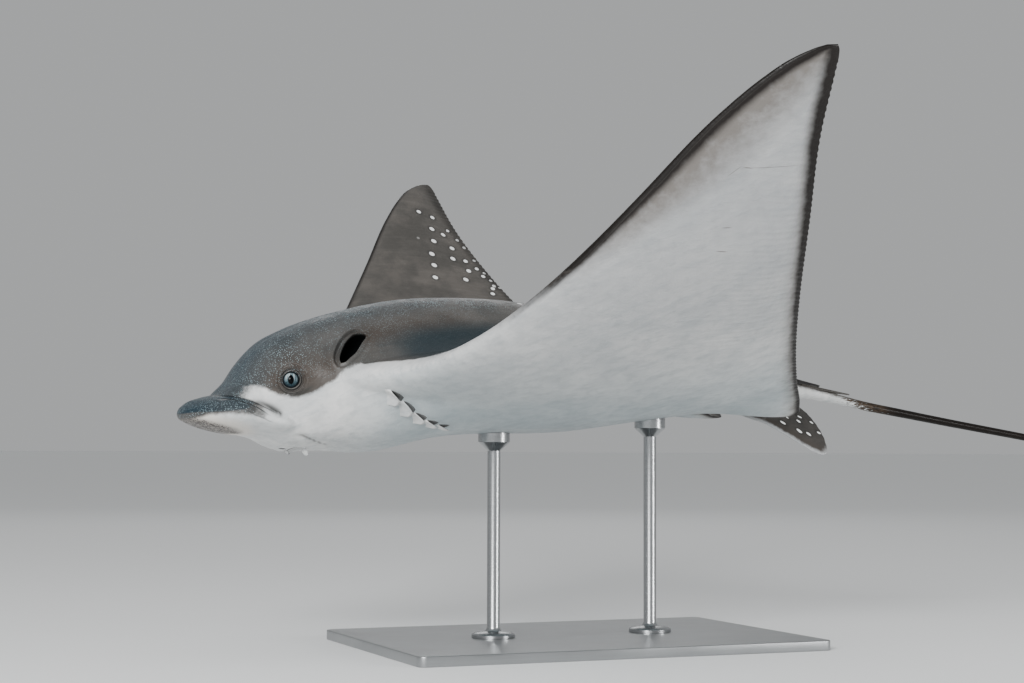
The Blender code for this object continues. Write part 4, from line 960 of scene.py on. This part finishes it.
def make_dorsal_fin(shape):
    """The small dark fin on the tail's root, leaning back over the stings."""
    rows, fields = [], []
    for height in (-0.008, -0.005, -0.002, 0.0, 0.001, 0.002, 0.003, 0.004, 0.005, 0.006, 0.007,
                   0.0085, 0.010, 0.012, 0.014, 0.016, 0.018, 0.0195, 0.0208, 0.0216):
        start = float(smooth(DORSAL_FRONT, height))
        end = float(smooth(DORSAL_REAR, height))
        centre = Vector(in_metres(((start + end) / 2, 0, DORSAL_LEVEL + height)))
        half_thick = DORSAL_HALF_THICKNESS * (1 - max(height, 0) / 0.028)
        ring = foil_ring(centre, Vector((1, 0, 0)), Vector((0, 1, 0)),
                         (end - start) / 2 * DISC_WIDTH, half_thick, 24, 0.0003, 7)
        rows.append(ring)
        fields.append([{"back": 20.0, "ink": 0.8}] * len(ring))
    close_grid(shape, rows, fields)


def make_papilla(shape, place, length, radius):
    """A small pale drop of skin that hangs under the chin."""
    spot, normal = surface(place, (0, 0, -1))
    rows, fields = [], []
    for u in np.linspace(0, 1, 12):
        girth = radius * (0.55 + 0.45 * math.sin(2.6 * u)) * math.sqrt(1 - (0.98 * u) ** 6)
        centre = spot + normal * (length * u - 0.002) + Vector((0.0015 * u * u, 0, 0))
        turns = [2 * math.pi * k / 16 for k in range(16)]
        rows.append([centre + Vector((math.cos(t) * girth, math.sin(t) * girth, 0)) for t in turns])
        fields.append([{}] * 16)
    close_grid(shape, rows, fields)


for side, word in ((-1, "left"), (1, "right")):
    for k in range(GILL_COUNT):
        make_gill(skin_shape, side, k / (GILL_COUNT - 1))
    make_pelvic_fin(skin_shape, side, PELVIC_DROOP[word])
make_dorsal_fin(skin_shape)
for place, length, radius in PAPILLAE:
    make_papilla(skin_shape, place, length, radius)


# The finish of the skin
# Wet, scaleless hide. Above, a grey-brown with a blue bloom on the head and pale spots on the
# rear of the wings, each one placed, with painted shade over the hollow between the back and each
# wing; below, white with soot-dark wing margins and a painted blue-grey shade along the belly.
# Fine pale specks ride the crest and the snout, with painted wet glints along the crest, and low
# wrinkles and pores break the shine. Painted shade darkens the snout's grooves, the jaw's fold,
# the mouth and every pit and slit.
# Spots hold their place on the disc and their radius in ten-thousandths of its width.
WING_SPOTS = ((0.349, 0.445, 25), (0.364, 0.441, 24), (0.358, 0.421, 28), (0.378, 0.425, 19),
              (0.370, 0.416, 26), (0.355, 0.401, 29), (0.386, 0.412, 20), (0.375, 0.396, 27),
              (0.391, 0.401, 20), (0.347, 0.379, 30), (0.371, 0.378, 29), (0.386, 0.378, 25),
              (0.397, 0.381, 19), (0.345, 0.361, 30), (0.385, 0.362, 27), (0.396, 0.367, 23),
              (0.403, 0.361, 18), (0.341, 0.341, 29), (0.400, 0.355, 24), (0.377, 0.346, 29),
              (0.407, 0.349, 20), (0.408, 0.340, 22), (0.405, 0.335, 24), (0.414, 0.338, 18),
              (0.402, 0.326, 25))
FAINT_SPOT = (0.337, 0.401)
FIN_SPOTS = ((0.5448, 0.0210, 25), (0.5605, 0.0228, 26), (0.5698, 0.0268, 23), (0.5628, 0.0435, 20),
             (0.5658, 0.0560, 20), (0.5771, 0.0560, 18), (0.5817, 0.0404, 19), (0.5516, 0.0386, 12))
SCRATCHES = ((0.3316, 0.3915, 0.0040, 0.0005, 1.2), (0.3600, 0.3985, 0.0240, 0.0003, 0.16),
             (0.3410, 0.3957, 0.0040, 0.0005, 0.0), (0.3457, 0.3225, 0.0050, 0.0006, 0.0),
             (0.3420, 0.3440, 0.0040, 0.0005, 0.1))
HIDE_SPECULAR = 0.26
HIDE_COAT = 0.05

hide, tree, shader = new_material("wet_ray_hide")
place = add("TexCoord").outputs["Object"]
split = add("SeparateXYZ", place)
field = {name: add("Attribute", attribute_name=name).outputs["Fac"] for name in FIELDS}
disc_x = add("Math.MULTIPLY_ADD", split.outputs["X"], 1 / DISC_WIDTH, STAND_CENTRE)
on_disc = add("CombineXYZ", {"X": disc_x, "Y": field["span"]})
broad, medium, fine, grainy = [
    add("TexNoise", {"Vector": place, "Scale": scale, "Detail": detail, "Roughness": 0.6})
    for scale, detail in ((14, 5), (70, 4), (420, 3), (1100, 2))]
slant = add("VectorRotate", {"Vector": place, "Angle": 0.45}, rotation_type="Y_AXIS")
streak, folds, chordwise = [
    add("TexNoise", {"Vector": add("VectorMath.MULTIPLY", base, stretch), "Scale": 1,
                     "Detail": detail, "Roughness": 0.6})
    for base, stretch, detail in ((place, (10, 60, 110), 4), (slant, (16, 40, 120), 3),
                                  (on_disc, (9, 420, 0), 3))]

# The edge between grey and white wanders, and is feathered over about six millimetres.
wander = add("Math.MULTIPLY_ADD", medium, 7, -3.5)
ragged = add("Math.MULTIPLY_ADD", fine, 3, wander)
edge = add("Math.ADD", field["back"], ragged)
above = add("MapRange.SMOOTHSTEP", edge, -3.2, 3.2)

# Above: two browns clouded into each other, warmed round the eye and cooled on the crown, with
# painted shade over the hollow between the back and each wing's root.
cloud = add("MapRange.SMOOTHSTEP", broad, 0.35, 0.65)
grey = add("MixRGB", cloud, "#484643", "#5b5753")
for veil, low, strength, tone in ((streak, 0.45, 0.14, "#827d78"), (medium, 0.5, 0.22, "#373737")):
    grey = add("MixRGB", add("MapRange.SMOOTHSTEP", veil, low, 0.8, 0, strength), grey, tone)
for name, strength, tone in (("blue", 0.94, "#172c37"), ("brown", 0.9, "#3d352f"),
                             ("saddle_shade", 0.9, "#14252c"), ("ink", 0.96, "#15171a")):
    grey = add("MixRGB", add("Math.MULTIPLY", field[name], strength), grey, tone)

# The placed spots, each in a darker halo, and a freer scatter over the hidden rear of the back.
nearest = None
for first, spots in ((0, WING_SPOTS), (FIN_SPOTS_START, FIN_SPOTS)):
    for x, span, tenths in spots:
        away = add("VectorMath.DISTANCE", on_disc, (x, first + span, 0)).outputs["Value"]
        away = add("Math.SUBTRACT", away, tenths / 10000)
        nearest = add("Math.MINIMUM", nearest, away) if nearest else away
on_back = add("CombineXYZ", {"X": disc_x, "Y": field["girth"]})
scatter = add("TexVoronoi", {"Vector": on_back, "Scale": 58, "Randomness": 0.66},
              voronoi_dimensions="2D")
rear_line = add("Math.MULTIPLY_ADD", field["span"], -0.35, disc_x)
hidden = add("Math.MULTIPLY", add("MapRange.SMOOTHSTEP", rear_line, 0.245, 0.295),
             add("MapRange.SMOOTHSTEP", field["span"], 0.314, 0.32, 1, 0))
hidden = add("Math.MULTIPLY", hidden, add("MapRange.SMOOTHSTEP", disc_x, 0.56, 0.585, 1, 0))
loose = add("Math.MULTIPLY_ADD", scatter.outputs["Distance"], 0.0172, 0.0066)
loose = add("Math.MULTIPLY_ADD", scatter.outputs["Color"], -0.0012, loose)
loose = add("Math.MULTIPLY_ADD", hidden, -0.0088, loose)
nearest = add("Math.MINIMUM", nearest, loose)
grey = add("MixRGB", add("MapRange.SMOOTHSTEP", nearest, 0.0004, 0.0038, 0.5, 0), grey, "#2b2a29")
faint = add("VectorMath.DISTANCE", on_disc, FAINT_SPOT + (0,)).outputs["Value"]
grey = add("MixRGB", add("MapRange.SMOOTHSTEP", faint, 0.001, 0.0022, 0.35, 0), grey, "#c9c9c6")
pale = add("MapRange.SMOOTHSTEP", nearest, -0.0005, 0.0003, 1, 0)
grey = add("MixRGB", pale, grey, "#fbfcfb")

# Below: white, clouded with faint grey, with a painted blue-grey shade along the belly, and cream
# under the snout.
white = add("MixRGB", cloud, "#c8caca", "#dddddb")
white = add("MixRGB", add("MapRange.SMOOTHSTEP", medium, 0.42, 0.72, 0, 0.34), white, "#a3a7a8")
white = add("MixRGB", add("Math.MULTIPLY", field["belly"], 0.55), white, "#8199a1")
for veil, low, high, strength, tone in ((streak, 0.5, 0.8, 0.22, "#9a9fa1"),
                                        (folds, 0.46, 0.7, 0.28, "#8c989e"),
                                        (field["span"], 0.1, 0.3, 0.62, "#86888b")):
    white = add("MixRGB", add("MapRange.SMOOTHSTEP", veil, low, high, 0, strength), white, tone)
murk = add("Math.MULTIPLY_ADD", medium, 1.3, 0.4)
murk = add("Math.MULTIPLY", field["haze"], murk, use_clamp=True)
white = add("MixRGB", murk, white, "#716d69")
cream = add("MapRange.SMOOTHSTEP", field["dust"], -16, -2)
white = add("MixRGB", add("Math.MULTIPLY", cream, 0.8), white, "#d9d2c8")
dust = add("TexVoronoi", {"Vector": place, "Scale": 360, "Randomness": 1})
dust_size = add("Math.MULTIPLY_ADD", medium, 0.35,
                add("MapRange.SMOOTHSTEP", field["dust"], -5, 3, -0.2, 0.38))
dusted = add("Math.MULTIPLY", add("Math.LESS_THAN", dust, dust_size),
             add("MapRange.SMOOTHSTEP", field["dust"], -4, 0))
earth = add("MapRange.SMOOTHSTEP", field["dust"], -4, 2, 0, 0.8)
white = add("MixRGB", earth, white, "#5d554f")
white = add("MixRGB", add("Math.MULTIPLY", dusted, 0.92), white, "#262120")
soot = add("Math.MULTIPLY_ADD", medium, 0.5, 0.85)
soot = add("Math.MULTIPLY", field["margin"], soot, use_clamp=True)
white = add("MixRGB", soot, white, "#181412")
for x, span, half_length, half_width, rise in SCRATCHES:
    across = add("VectorMath.SUBTRACT", on_disc, (x, span, 0))
    away = add("SeparateXYZ", across)
    drift = add("Math.MULTIPLY_ADD", away.outputs["X"], -rise, away.outputs["Y"])
    across = add("CombineXYZ", {"X": add("Math.DIVIDE", away.outputs["X"], half_length),
                                "Y": add("Math.DIVIDE", drift, half_width)})
    across = add("VectorMath.LENGTH", across).outputs["Value"]
    white = add("MixRGB", add("MapRange.SMOOTHSTEP", across, 0.4, 1.3, 0.75, 0), white, "#66625f")

colour = add("MixRGB", above, white, grey)
colour = add("MixRGB", add("Math.MULTIPLY", soot, above), colour, "#161311")
# Painted shade in the hollow behind the snout's groove and in a crescent under each eye.
colour = add("MixRGB", add("Math.MULTIPLY", field["shade"], 0.95), colour, "#282826")

# Three thin lines of painted shade run back over the snout: in the groove, its twin and a fainter
# fold under them.
lines = None
for name, half_width, start, end, strength in (("groove", 0.7, 0.031, 0.078, 0.9),
                                               ("twin", 0.9, 0.032, 0.070, 1.0),
                                               ("fold", 0.8, 0.049, 0.074, 0.5)):
    away = add("Math.ABSOLUTE", add("Math.MULTIPLY_ADD", medium, 1.2,
                                    add("Math.SUBTRACT", field[name], 0.6)))
    line = add("MapRange.SMOOTHSTEP", away, 0.3 * half_width, 1.6 * half_width, strength, 0)
    line = add("Math.MULTIPLY", line, add("MapRange.SMOOTHSTEP", disc_x, start, start + 0.004))
    line = add("Math.MULTIPLY", line, add("MapRange.SMOOTHSTEP", disc_x, end - 0.01, end, 1, 0))
    lines = add("Math.MAXIMUM", lines, line) if lines else line
colour = add("MixRGB", add("Math.MULTIPLY", lines, 0.9), colour, "#1b2023")
# The jaw's fold under the head is darkened as painted shade.
jaw = add("MapRange.SMOOTHSTEP", add("Math.ABSOLUTE", field["jaw"]), 0.5, 3.8, 0.6, 0)
jaw = add("Math.MULTIPLY", jaw, add("MapRange.SMOOTHSTEP", disc_x, 0.118, 0.131, 1, 0))
jaw = add("Math.MULTIPLY", jaw, add("MapRange.SMOOTHSTEP", disc_x, 0.094, 0.1))
colour = add("MixRGB", jaw, colour, "#5c5856")

# The line of the mouth, bowed across the underside of the head between two low lips: the slit is
# painted dark as shade, and a faint painted shade lies along the lips.
out_y = add("Math.MULTIPLY", split.outputs["Y"], 1 / DISC_WIDTH)
lip = add("Math.MULTIPLY_ADD", add("Math.MULTIPLY", out_y, out_y), -MOUTH_BOW,
          add("Math.SUBTRACT", disc_x, MOUTH_X))
lip = add("Math.ABSOLUTE", lip)
under = add("MapRange.SMOOTHSTEP", add("Math.ABSOLUTE", out_y), MOUTH_HALF_WIDTH - 0.007,
            MOUTH_HALF_WIDTH, 1, 0)
low = add("MapRange.SMOOTHSTEP", split.outputs["Z"], 0.29, 0.3, 1, 0)
under = add("Math.MULTIPLY", under, low)
mouth = add("Math.MULTIPLY", add("MapRange.SMOOTHSTEP", lip, 0.0003, 0.001, 1, 0), under)
lips = add("Math.ABSOLUTE", add("Math.SUBTRACT", lip, 0.003))
lips = add("Math.MULTIPLY", add("MapRange.SMOOTHSTEP", lips, 0, 0.0026, 1, 0), under)
colour = add("MixRGB", add("Math.MULTIPLY", lips, 0.22), colour, "#8d8683")
colour = add("MixRGB", add("Math.MULTIPLY", mouth, 0.95), colour, "#191211")

# The mottled side of the tail turns wholly dark a hand's breadth behind its root.
tail_spots = add("TexNoise", {"Vector": add("VectorMath.MULTIPLY", place, (120, 420, 420)),
                              "Scale": 1, "Detail": 4, "Roughness": 0.65})
mottle = add("Math.MULTIPLY_ADD", field["ink"], 0.5, tail_spots)
mottle = add("Math.MULTIPLY_ADD", field["back"], 0.01, mottle)
mottle = add("Math.MULTIPLY", add("MapRange.SMOOTHSTEP", mottle, 0.59, 0.65),
             add("MapRange.SMOOTHSTEP", disc_x, 0.606, 0.618))
earth = add("MapRange.SMOOTHSTEP", tail_spots, 0.35, 0.65)
colour = add("MixRGB", mottle, colour, add("MixRGB", earth, "#15110e", "#4a3d31"))
mottle = add("Math.MULTIPLY_ADD", tail_spots, 0.5, field["ink"])
mottle = add("MapRange.SMOOTHSTEP", mottle, 1.02, 1.25)
colour = add("MixRGB", mottle, colour, add("MixRGB", tail_spots, "#0b0a0a", "#1d1814"))

# The rings round each eye, the pale specks with their painted glints, then the painted shade in
# pits and slits.
for radius, width, strength, tone in ((10.3, 1.2, 0.95, "#0b0e10"), (12.0, 0.6, 0.10, "#9aa1a2"),
                                      (13.6, 1.1, 0.60, "#12171a")):
    away = add("Math.ABSOLUTE", add("Math.SUBTRACT", field["lid"], radius))
    ring = add("MapRange.SMOOTHSTEP", away, 0.4 * width, 1.3 * width, strength, 0)
    colour = add("MixRGB", ring, colour, tone)
grain = add("TexVoronoi", {"Vector": add("VectorMath.MULTIPLY", place, (460, 560, 560)),
                           "Scale": 1, "Randomness": 1})
grain_size = add("Math.MINIMUM", add("Math.MULTIPLY_ADD", medium, 0.8, -0.13), 0.29)
specks_and_glints = add("Math.MULTIPLY", add("Math.LESS_THAN", grain, grain_size), field["speck_and_glint"])
specks_and_glints = add("Math.MULTIPLY", specks_and_glints, above)
colour = add("MixRGB", add("Math.MULTIPLY", specks_and_glints, 0.62, use_clamp=True), colour, "#b3cad1")
colour = add("MixRGB", field["pit"], colour, "#08090a")
feed(shader, {"Base Color": colour})

# Low wrinkles and pores, the lid's rings, the groove's lines and the specks' own grain.
lid_rings = add("Math.SINE", add("Math.MULTIPLY", field["lid"], 2.6))
near_lid = add("MapRange.SMOOTHSTEP", field["lid"], 15, 25, 0.5, 0)
lid_rings = add("Math.MULTIPLY", lid_rings, near_lid)
relief = medium
for height, strength in ((fine, 0.3), (grainy, 0.15), (streak, 0.4), (folds, 0.8),
                         (chordwise, 0.25), (specks_and_glints, 0.35), (mouth, -3), (lips, 1.8)):
    relief = add("Math.MULTIPLY_ADD", height, strength, relief)
relief = add("Math.MULTIPLY_ADD", lines, -1.6, add("Math.ADD", relief, lid_rings))
shine = add("Math.MULTIPLY_ADD", field["pit"], -HIDE_SPECULAR, HIDE_SPECULAR)
shine = add("Math.MULTIPLY_ADD", field["ink"], -0.14, shine)
wet = add("Math.MULTIPLY_ADD", field["pit"], -HIDE_COAT, HIDE_COAT, use_clamp=True)
feed(shader, {"Normal": add("Bump", {"Height": relief, "Distance": 0.0007}),
              "Roughness": add("MapRange.SMOOTHSTEP", medium, 0.3, 0.7, 0.3, 0.46),
              "Specular IOR Level": add("Math.MAXIMUM", shine, 0), "Coat Weight": wet,
              "IOR": 1.4, "Coat Roughness": 0.25})

skin = new_piece("skin", mesh_of(skin_shape, "skin"), hide)
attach(skin, "root")
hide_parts("snout", "head", "torso", "wing_left", "wing_right", "pelvic_fin_left",
            "pelvic_fin_right", "dorsal_fin", "tail_1", "tail_2", "tail_3", "tail_4")


# Eyes
# A wet ball in each socket: a silver blue-grey iris with fine spokes, a dark rim, and an upright
# pupil like an almond, pointed above and round below. Its own pole looks out, and it is
# finished by distance from that pole.
PUPIL_HALF_WIDTH = 0.0037
PUPIL_HALF_HEIGHT = 0.0066
PUPIL_FOOT = 0.0056
IRIS_RADIUS = 0.0098

for word, (spot, out) in eye_places.items():
    depth = math.sqrt(EYE_RADIUS ** 2 - EYE_OPENING ** 2)
    centre = spot - out * depth
    along, across, out = axes_from(out, (1, 0, 0))
    if across.z < 0:
        across = -across
    shape = bmesh.new()
    bmesh.ops.create_uvsphere(shape, u_segments=64, v_segments=40, radius=EYE_RADIUS)
    plane_x = shape.verts.layers.float.new("eye_x")
    plane_y = shape.verts.layers.float.new("eye_y")
    for vertex in shape.verts:
        local = vertex.co.copy()
        bulge = 1 + 0.05 * max(local.z / EYE_RADIUS - 0.75, 0) * 4
        vertex[plane_x] = local.x if local.z > 0 else 0.02
        vertex[plane_y] = local.y if local.z > 0 else 0.02
        vertex.co = centre + (along * local.x + across * local.y + out * local.z) * bulge
    ball, tree, shader = new_material("wet_eye_" + word)
    eye_x = add("Attribute", attribute_name="eye_x").outputs["Fac"]
    eye_y = add("Attribute", attribute_name="eye_y").outputs["Fac"]
    flat = add("CombineXYZ", {"X": eye_x, "Y": eye_y})
    radius = add("VectorMath.LENGTH", flat).outputs["Value"]
    wide = add("Math.DIVIDE", add("Math.ABSOLUTE", eye_x), PUPIL_HALF_WIDTH)
    tall = add("Math.DIVIDE", eye_y, PUPIL_HALF_HEIGHT)
    upper = add("Math.MULTIPLY_ADD", tall, tall, wide)
    foot = add("Math.DIVIDE", eye_y, PUPIL_FOOT)
    foot = add("Math.MULTIPLY", foot, foot)
    lower = add("Math.MULTIPLY_ADD", wide, wide, foot)
    below = add("Math.LESS_THAN", eye_y, 0)
    pupil = add("Mix", {"Factor": below, "A": upper, "B": lower})
    pupil = add("MapRange", pupil, 1.08, 0.94)
    angle = add("Math.ARCTAN2", eye_y, eye_x)
    spokes = add("CombineXYZ", {"X": add("Math.MULTIPLY", angle, 9),
                                "Y": add("Math.MULTIPLY", radius, 250)})
    fibres = add("TexNoise", {"Vector": spokes, "Scale": 1, "Detail": 4})
    spread = add("MapRange", fibres, 0.4, 0.6)
    iris = add("MixRGB", spread, "#1b2a30", "#5f757d")
    rays = add("CombineXYZ", {"X": add("Math.MULTIPLY", eye_x, 420),
                              "Y": add("Math.MULTIPLY", eye_y, 60)})
    rays = add("MapRange", add("TexNoise", {"Vector": rays, "Scale": 1, "Detail": 2}), 0.42, 0.58)
    # The iris is painted lighter above, as if lit, and painted in shade below.
    lit = add("Math.MULTIPLY", add("MapRange", eye_y, -0.003, 0.006, 0, 0.85), rays)
    iris_shade = add("MapRange", eye_y, 0, -0.006, 0, 0.85)
    hoop = add("MapRange.SMOOTHSTEP", radius, IRIS_RADIUS - 0.0026, IRIS_RADIUS - 0.0004)
    for share, tone in ((lit, "#b4c0c3"), (iris_shade, "#14262d"), (hoop, "#10171b"), (pupil, "#030405")):
        iris = add("MixRGB", share, iris, tone)
    feed(shader, {"Base Color": iris, "Roughness": 0.16, "Specular IOR Level": 0.07})
    eye = new_piece("eyeball_" + word, mesh_of(shape, "eyeball_" + word), ball)
    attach(eye, "root")
    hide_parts("eye_" + word)


# Stings
# Two flat spines of hard dentine over the tail's root, dark with dried slime, pointed, with
# fine barbs down both edges that point back to the root.
STING_ROOT = (0.588, 0.0052, 0.0240)
STING_LENGTH = {"left": 0.0525, "right": 0.044}
STING_CLOSE = -0.002
STING_DROP = -0.0072
STING_HALF_WIDTH = 0.0034
STING_HALF_THICKNESS = 0.0038
STING_BARBS = 26

horn, tree, shader = new_material("dark_dentine")
place = add("TexCoord").outputs["Object"]
grain_place = add("VectorMath.MULTIPLY", place, (60, 500, 500))
grain = add("TexNoise", {"Vector": grain_place, "Scale": 1, "Detail": 4})
tone = add("MixRGB", grain, "#1b1917", "#3d372f")
feed(shader, {"Base Color": tone, "Normal": add("Bump", {"Height": grain, "Distance": 0.0002}),
              "Roughness": 0.42})
for side, word in ((-1, "left"), (1, "right")):
    shape = bmesh.new()
    start = np.array(STING_ROOT) * (1, side, 1)
    end = start + np.array((STING_LENGTH[word], STING_CLOSE * side, STING_DROP))
    loops = []
    for k in range(4 * STING_BARBS + 1):
        share = k / (4 * STING_BARBS)
        centre = Vector(in_metres(start + (end - start) * share))
        barb = (0.0, 0.12, 0.24, 0.34)[k % 4]
        taper = 1 - 0.92 * share ** 1.6
        ring = foil_ring(centre, Vector((0, 1, 0)), Vector((0, 0, 1)),
                         STING_HALF_WIDTH * taper * (0.78 + barb * 0.65),
                         STING_HALF_THICKNESS * (1 - 0.8 * share), 8, 0.0002, 3)
        loops.append([shape.verts.new(p) for p in ring])
    bridge(shape, loops)
    shape.faces.new(loops[0])
    shape.faces.new(loops[-1])
    sting = new_piece("spine_" + word, mesh_of(shape, "spine_" + word), horn)
    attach(sting, "root")
    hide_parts("sting_" + word)


# The stand
# A plate of brushed steel, laser cut and eased along its edges, with two turned steel rods
# screwed into it. Each rod has a spun foot and a shallow cup that fits the belly.
BASE_LENGTH = 0.60
BASE_WIDTH = 0.40
BASE_THICKNESS = 0.014
BASE_CORNER = 0.012
BASE_EASED_EDGE = 0.0015
ROD_SIDES = 48
ROD_RADIUS = 0.009
ROD_PLACES = {"stand_rod_front": 0.285, "stand_rod_rear": 0.435}
FOOT_GAP = 0.0003
FOOT_RADIUS = 0.030
PAD_RADIUS = 0.022
PAD_DEPTH = 0.012

brushed, tree, shader = new_material("brushed_steel_plate")
place = add("TexCoord").outputs["Object"]
brush_place = add("VectorMath.MULTIPLY", place, (8, 1400, 1400))
brush = add("TexNoise", {"Vector": brush_place, "Scale": 1, "Detail": 5, "Roughness": 0.7})
smear = add("TexNoise", {"Vector": place, "Scale": 9, "Detail": 3})
satin = add("MixRGB", brush, "#8e9092", "#b3b5b6")
feed(shader, {"Base Color": satin, "Normal": add("Bump", {"Height": brush, "Distance": 4e-05}),
              "Metallic": 1.0, "Roughness": add("MapRange", smear, 0.3, 0.7, 0.28, 0.42)})
shape = bmesh.new()
bmesh.ops.create_cube(shape, size=1)
for vertex in shape.verts:
    vertex.co = (vertex.co.x * BASE_LENGTH, vertex.co.y * BASE_WIDTH,
                 (vertex.co.z + 0.5) * BASE_THICKNESS)
upright = [e for e in shape.edges if abs(e.verts[0].co.z - e.verts[1].co.z) > 0.01]
bmesh.ops.bevel(shape, geom=upright, offset=BASE_CORNER, segments=10, affect="EDGES", profile=0.5)
rims = [e for e in shape.edges if abs(e.verts[0].co.z - e.verts[1].co.z) < 0.001
        and e.calc_face_angle() > 1.2]
bmesh.ops.bevel(shape, geom=rims, offset=BASE_EASED_EDGE, segments=4, affect="EDGES", profile=0.5)
base = new_piece("plate", mesh_of(shape, "plate"), brushed)
base.data.shade_smooth()
base.data.set_sharp_from_angle(angle=math.radians(40))
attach(base, "root")
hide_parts("stand_base")

turned_steel, tree, shader = new_material("turned_steel_rod")
place = add("TexCoord").outputs["Object"]
lathe_place = add("VectorMath.MULTIPLY", place, (20, 20, 1800))
lathe = add("TexNoise", {"Vector": lathe_place, "Scale": 1, "Detail": 3})
satin = add("MixRGB", lathe, "#96989a", "#bcbebf")
feed(shader, {"Base Color": satin, "Normal": add("Bump", {"Height": lathe, "Distance": 3e-05}),
              "Metallic": 1.0, "Roughness": 0.27})
for node_name, rod_x in ROD_PLACES.items():
    x = float(in_metres((rod_x, 0, 0))[0])
    under = float(in_metres((rod_x, 0, float(smooth(BELLY, rod_x))))[2])
    foot = BASE_THICKNESS + FOOT_GAP
    cup = under - PAD_DEPTH
    profile = [(FOOT_RADIUS, foot), (FOOT_RADIUS, foot + 0.0042),
               (FOOT_RADIUS - 0.0006, foot + 0.005), (FOOT_RADIUS - 0.004, foot + 0.007),
               (ROD_RADIUS + 0.003, foot + 0.009), (ROD_RADIUS + 0.001, foot + 0.011),
               (ROD_RADIUS, foot + 0.014), (ROD_RADIUS, cup - 0.012),
               (ROD_RADIUS + 0.002, cup - 0.010), (PAD_RADIUS - 0.002, cup - 0.002),
               (PAD_RADIUS, cup)]
    shape = bmesh.new()
    loops = []
    for radius, height in profile:
        turns = [2 * math.pi * k / ROD_SIDES for k in range(ROD_SIDES)]
        loops.append([shape.verts.new((x + radius * math.cos(t), radius * math.sin(t), height))
                      for t in turns])
    rim = []
    for vertex in loops[-1]:
        spot = skin_tree.ray_cast(Vector((vertex.co.x, vertex.co.y, 0.1)), Vector((0, 0, 1)))[0]
        rim.append(shape.verts.new((vertex.co.x, vertex.co.y, spot.z - 0.0004)))
    loops.append(rim)
    bridge(shape, loops)
    for loop in (loops[0], loops[-1]):
        cap(shape, loop, (x, 0, sum(v.co.z for v in loop) / ROD_SIDES - 0.0002))
    rod = new_piece(node_name.replace("stand_", "turned_"), mesh_of(shape, node_name), turned_steel)
    rod.data.set_sharp_from_angle(angle=math.radians(35))
    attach(rod, "root")
    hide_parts(node_name)
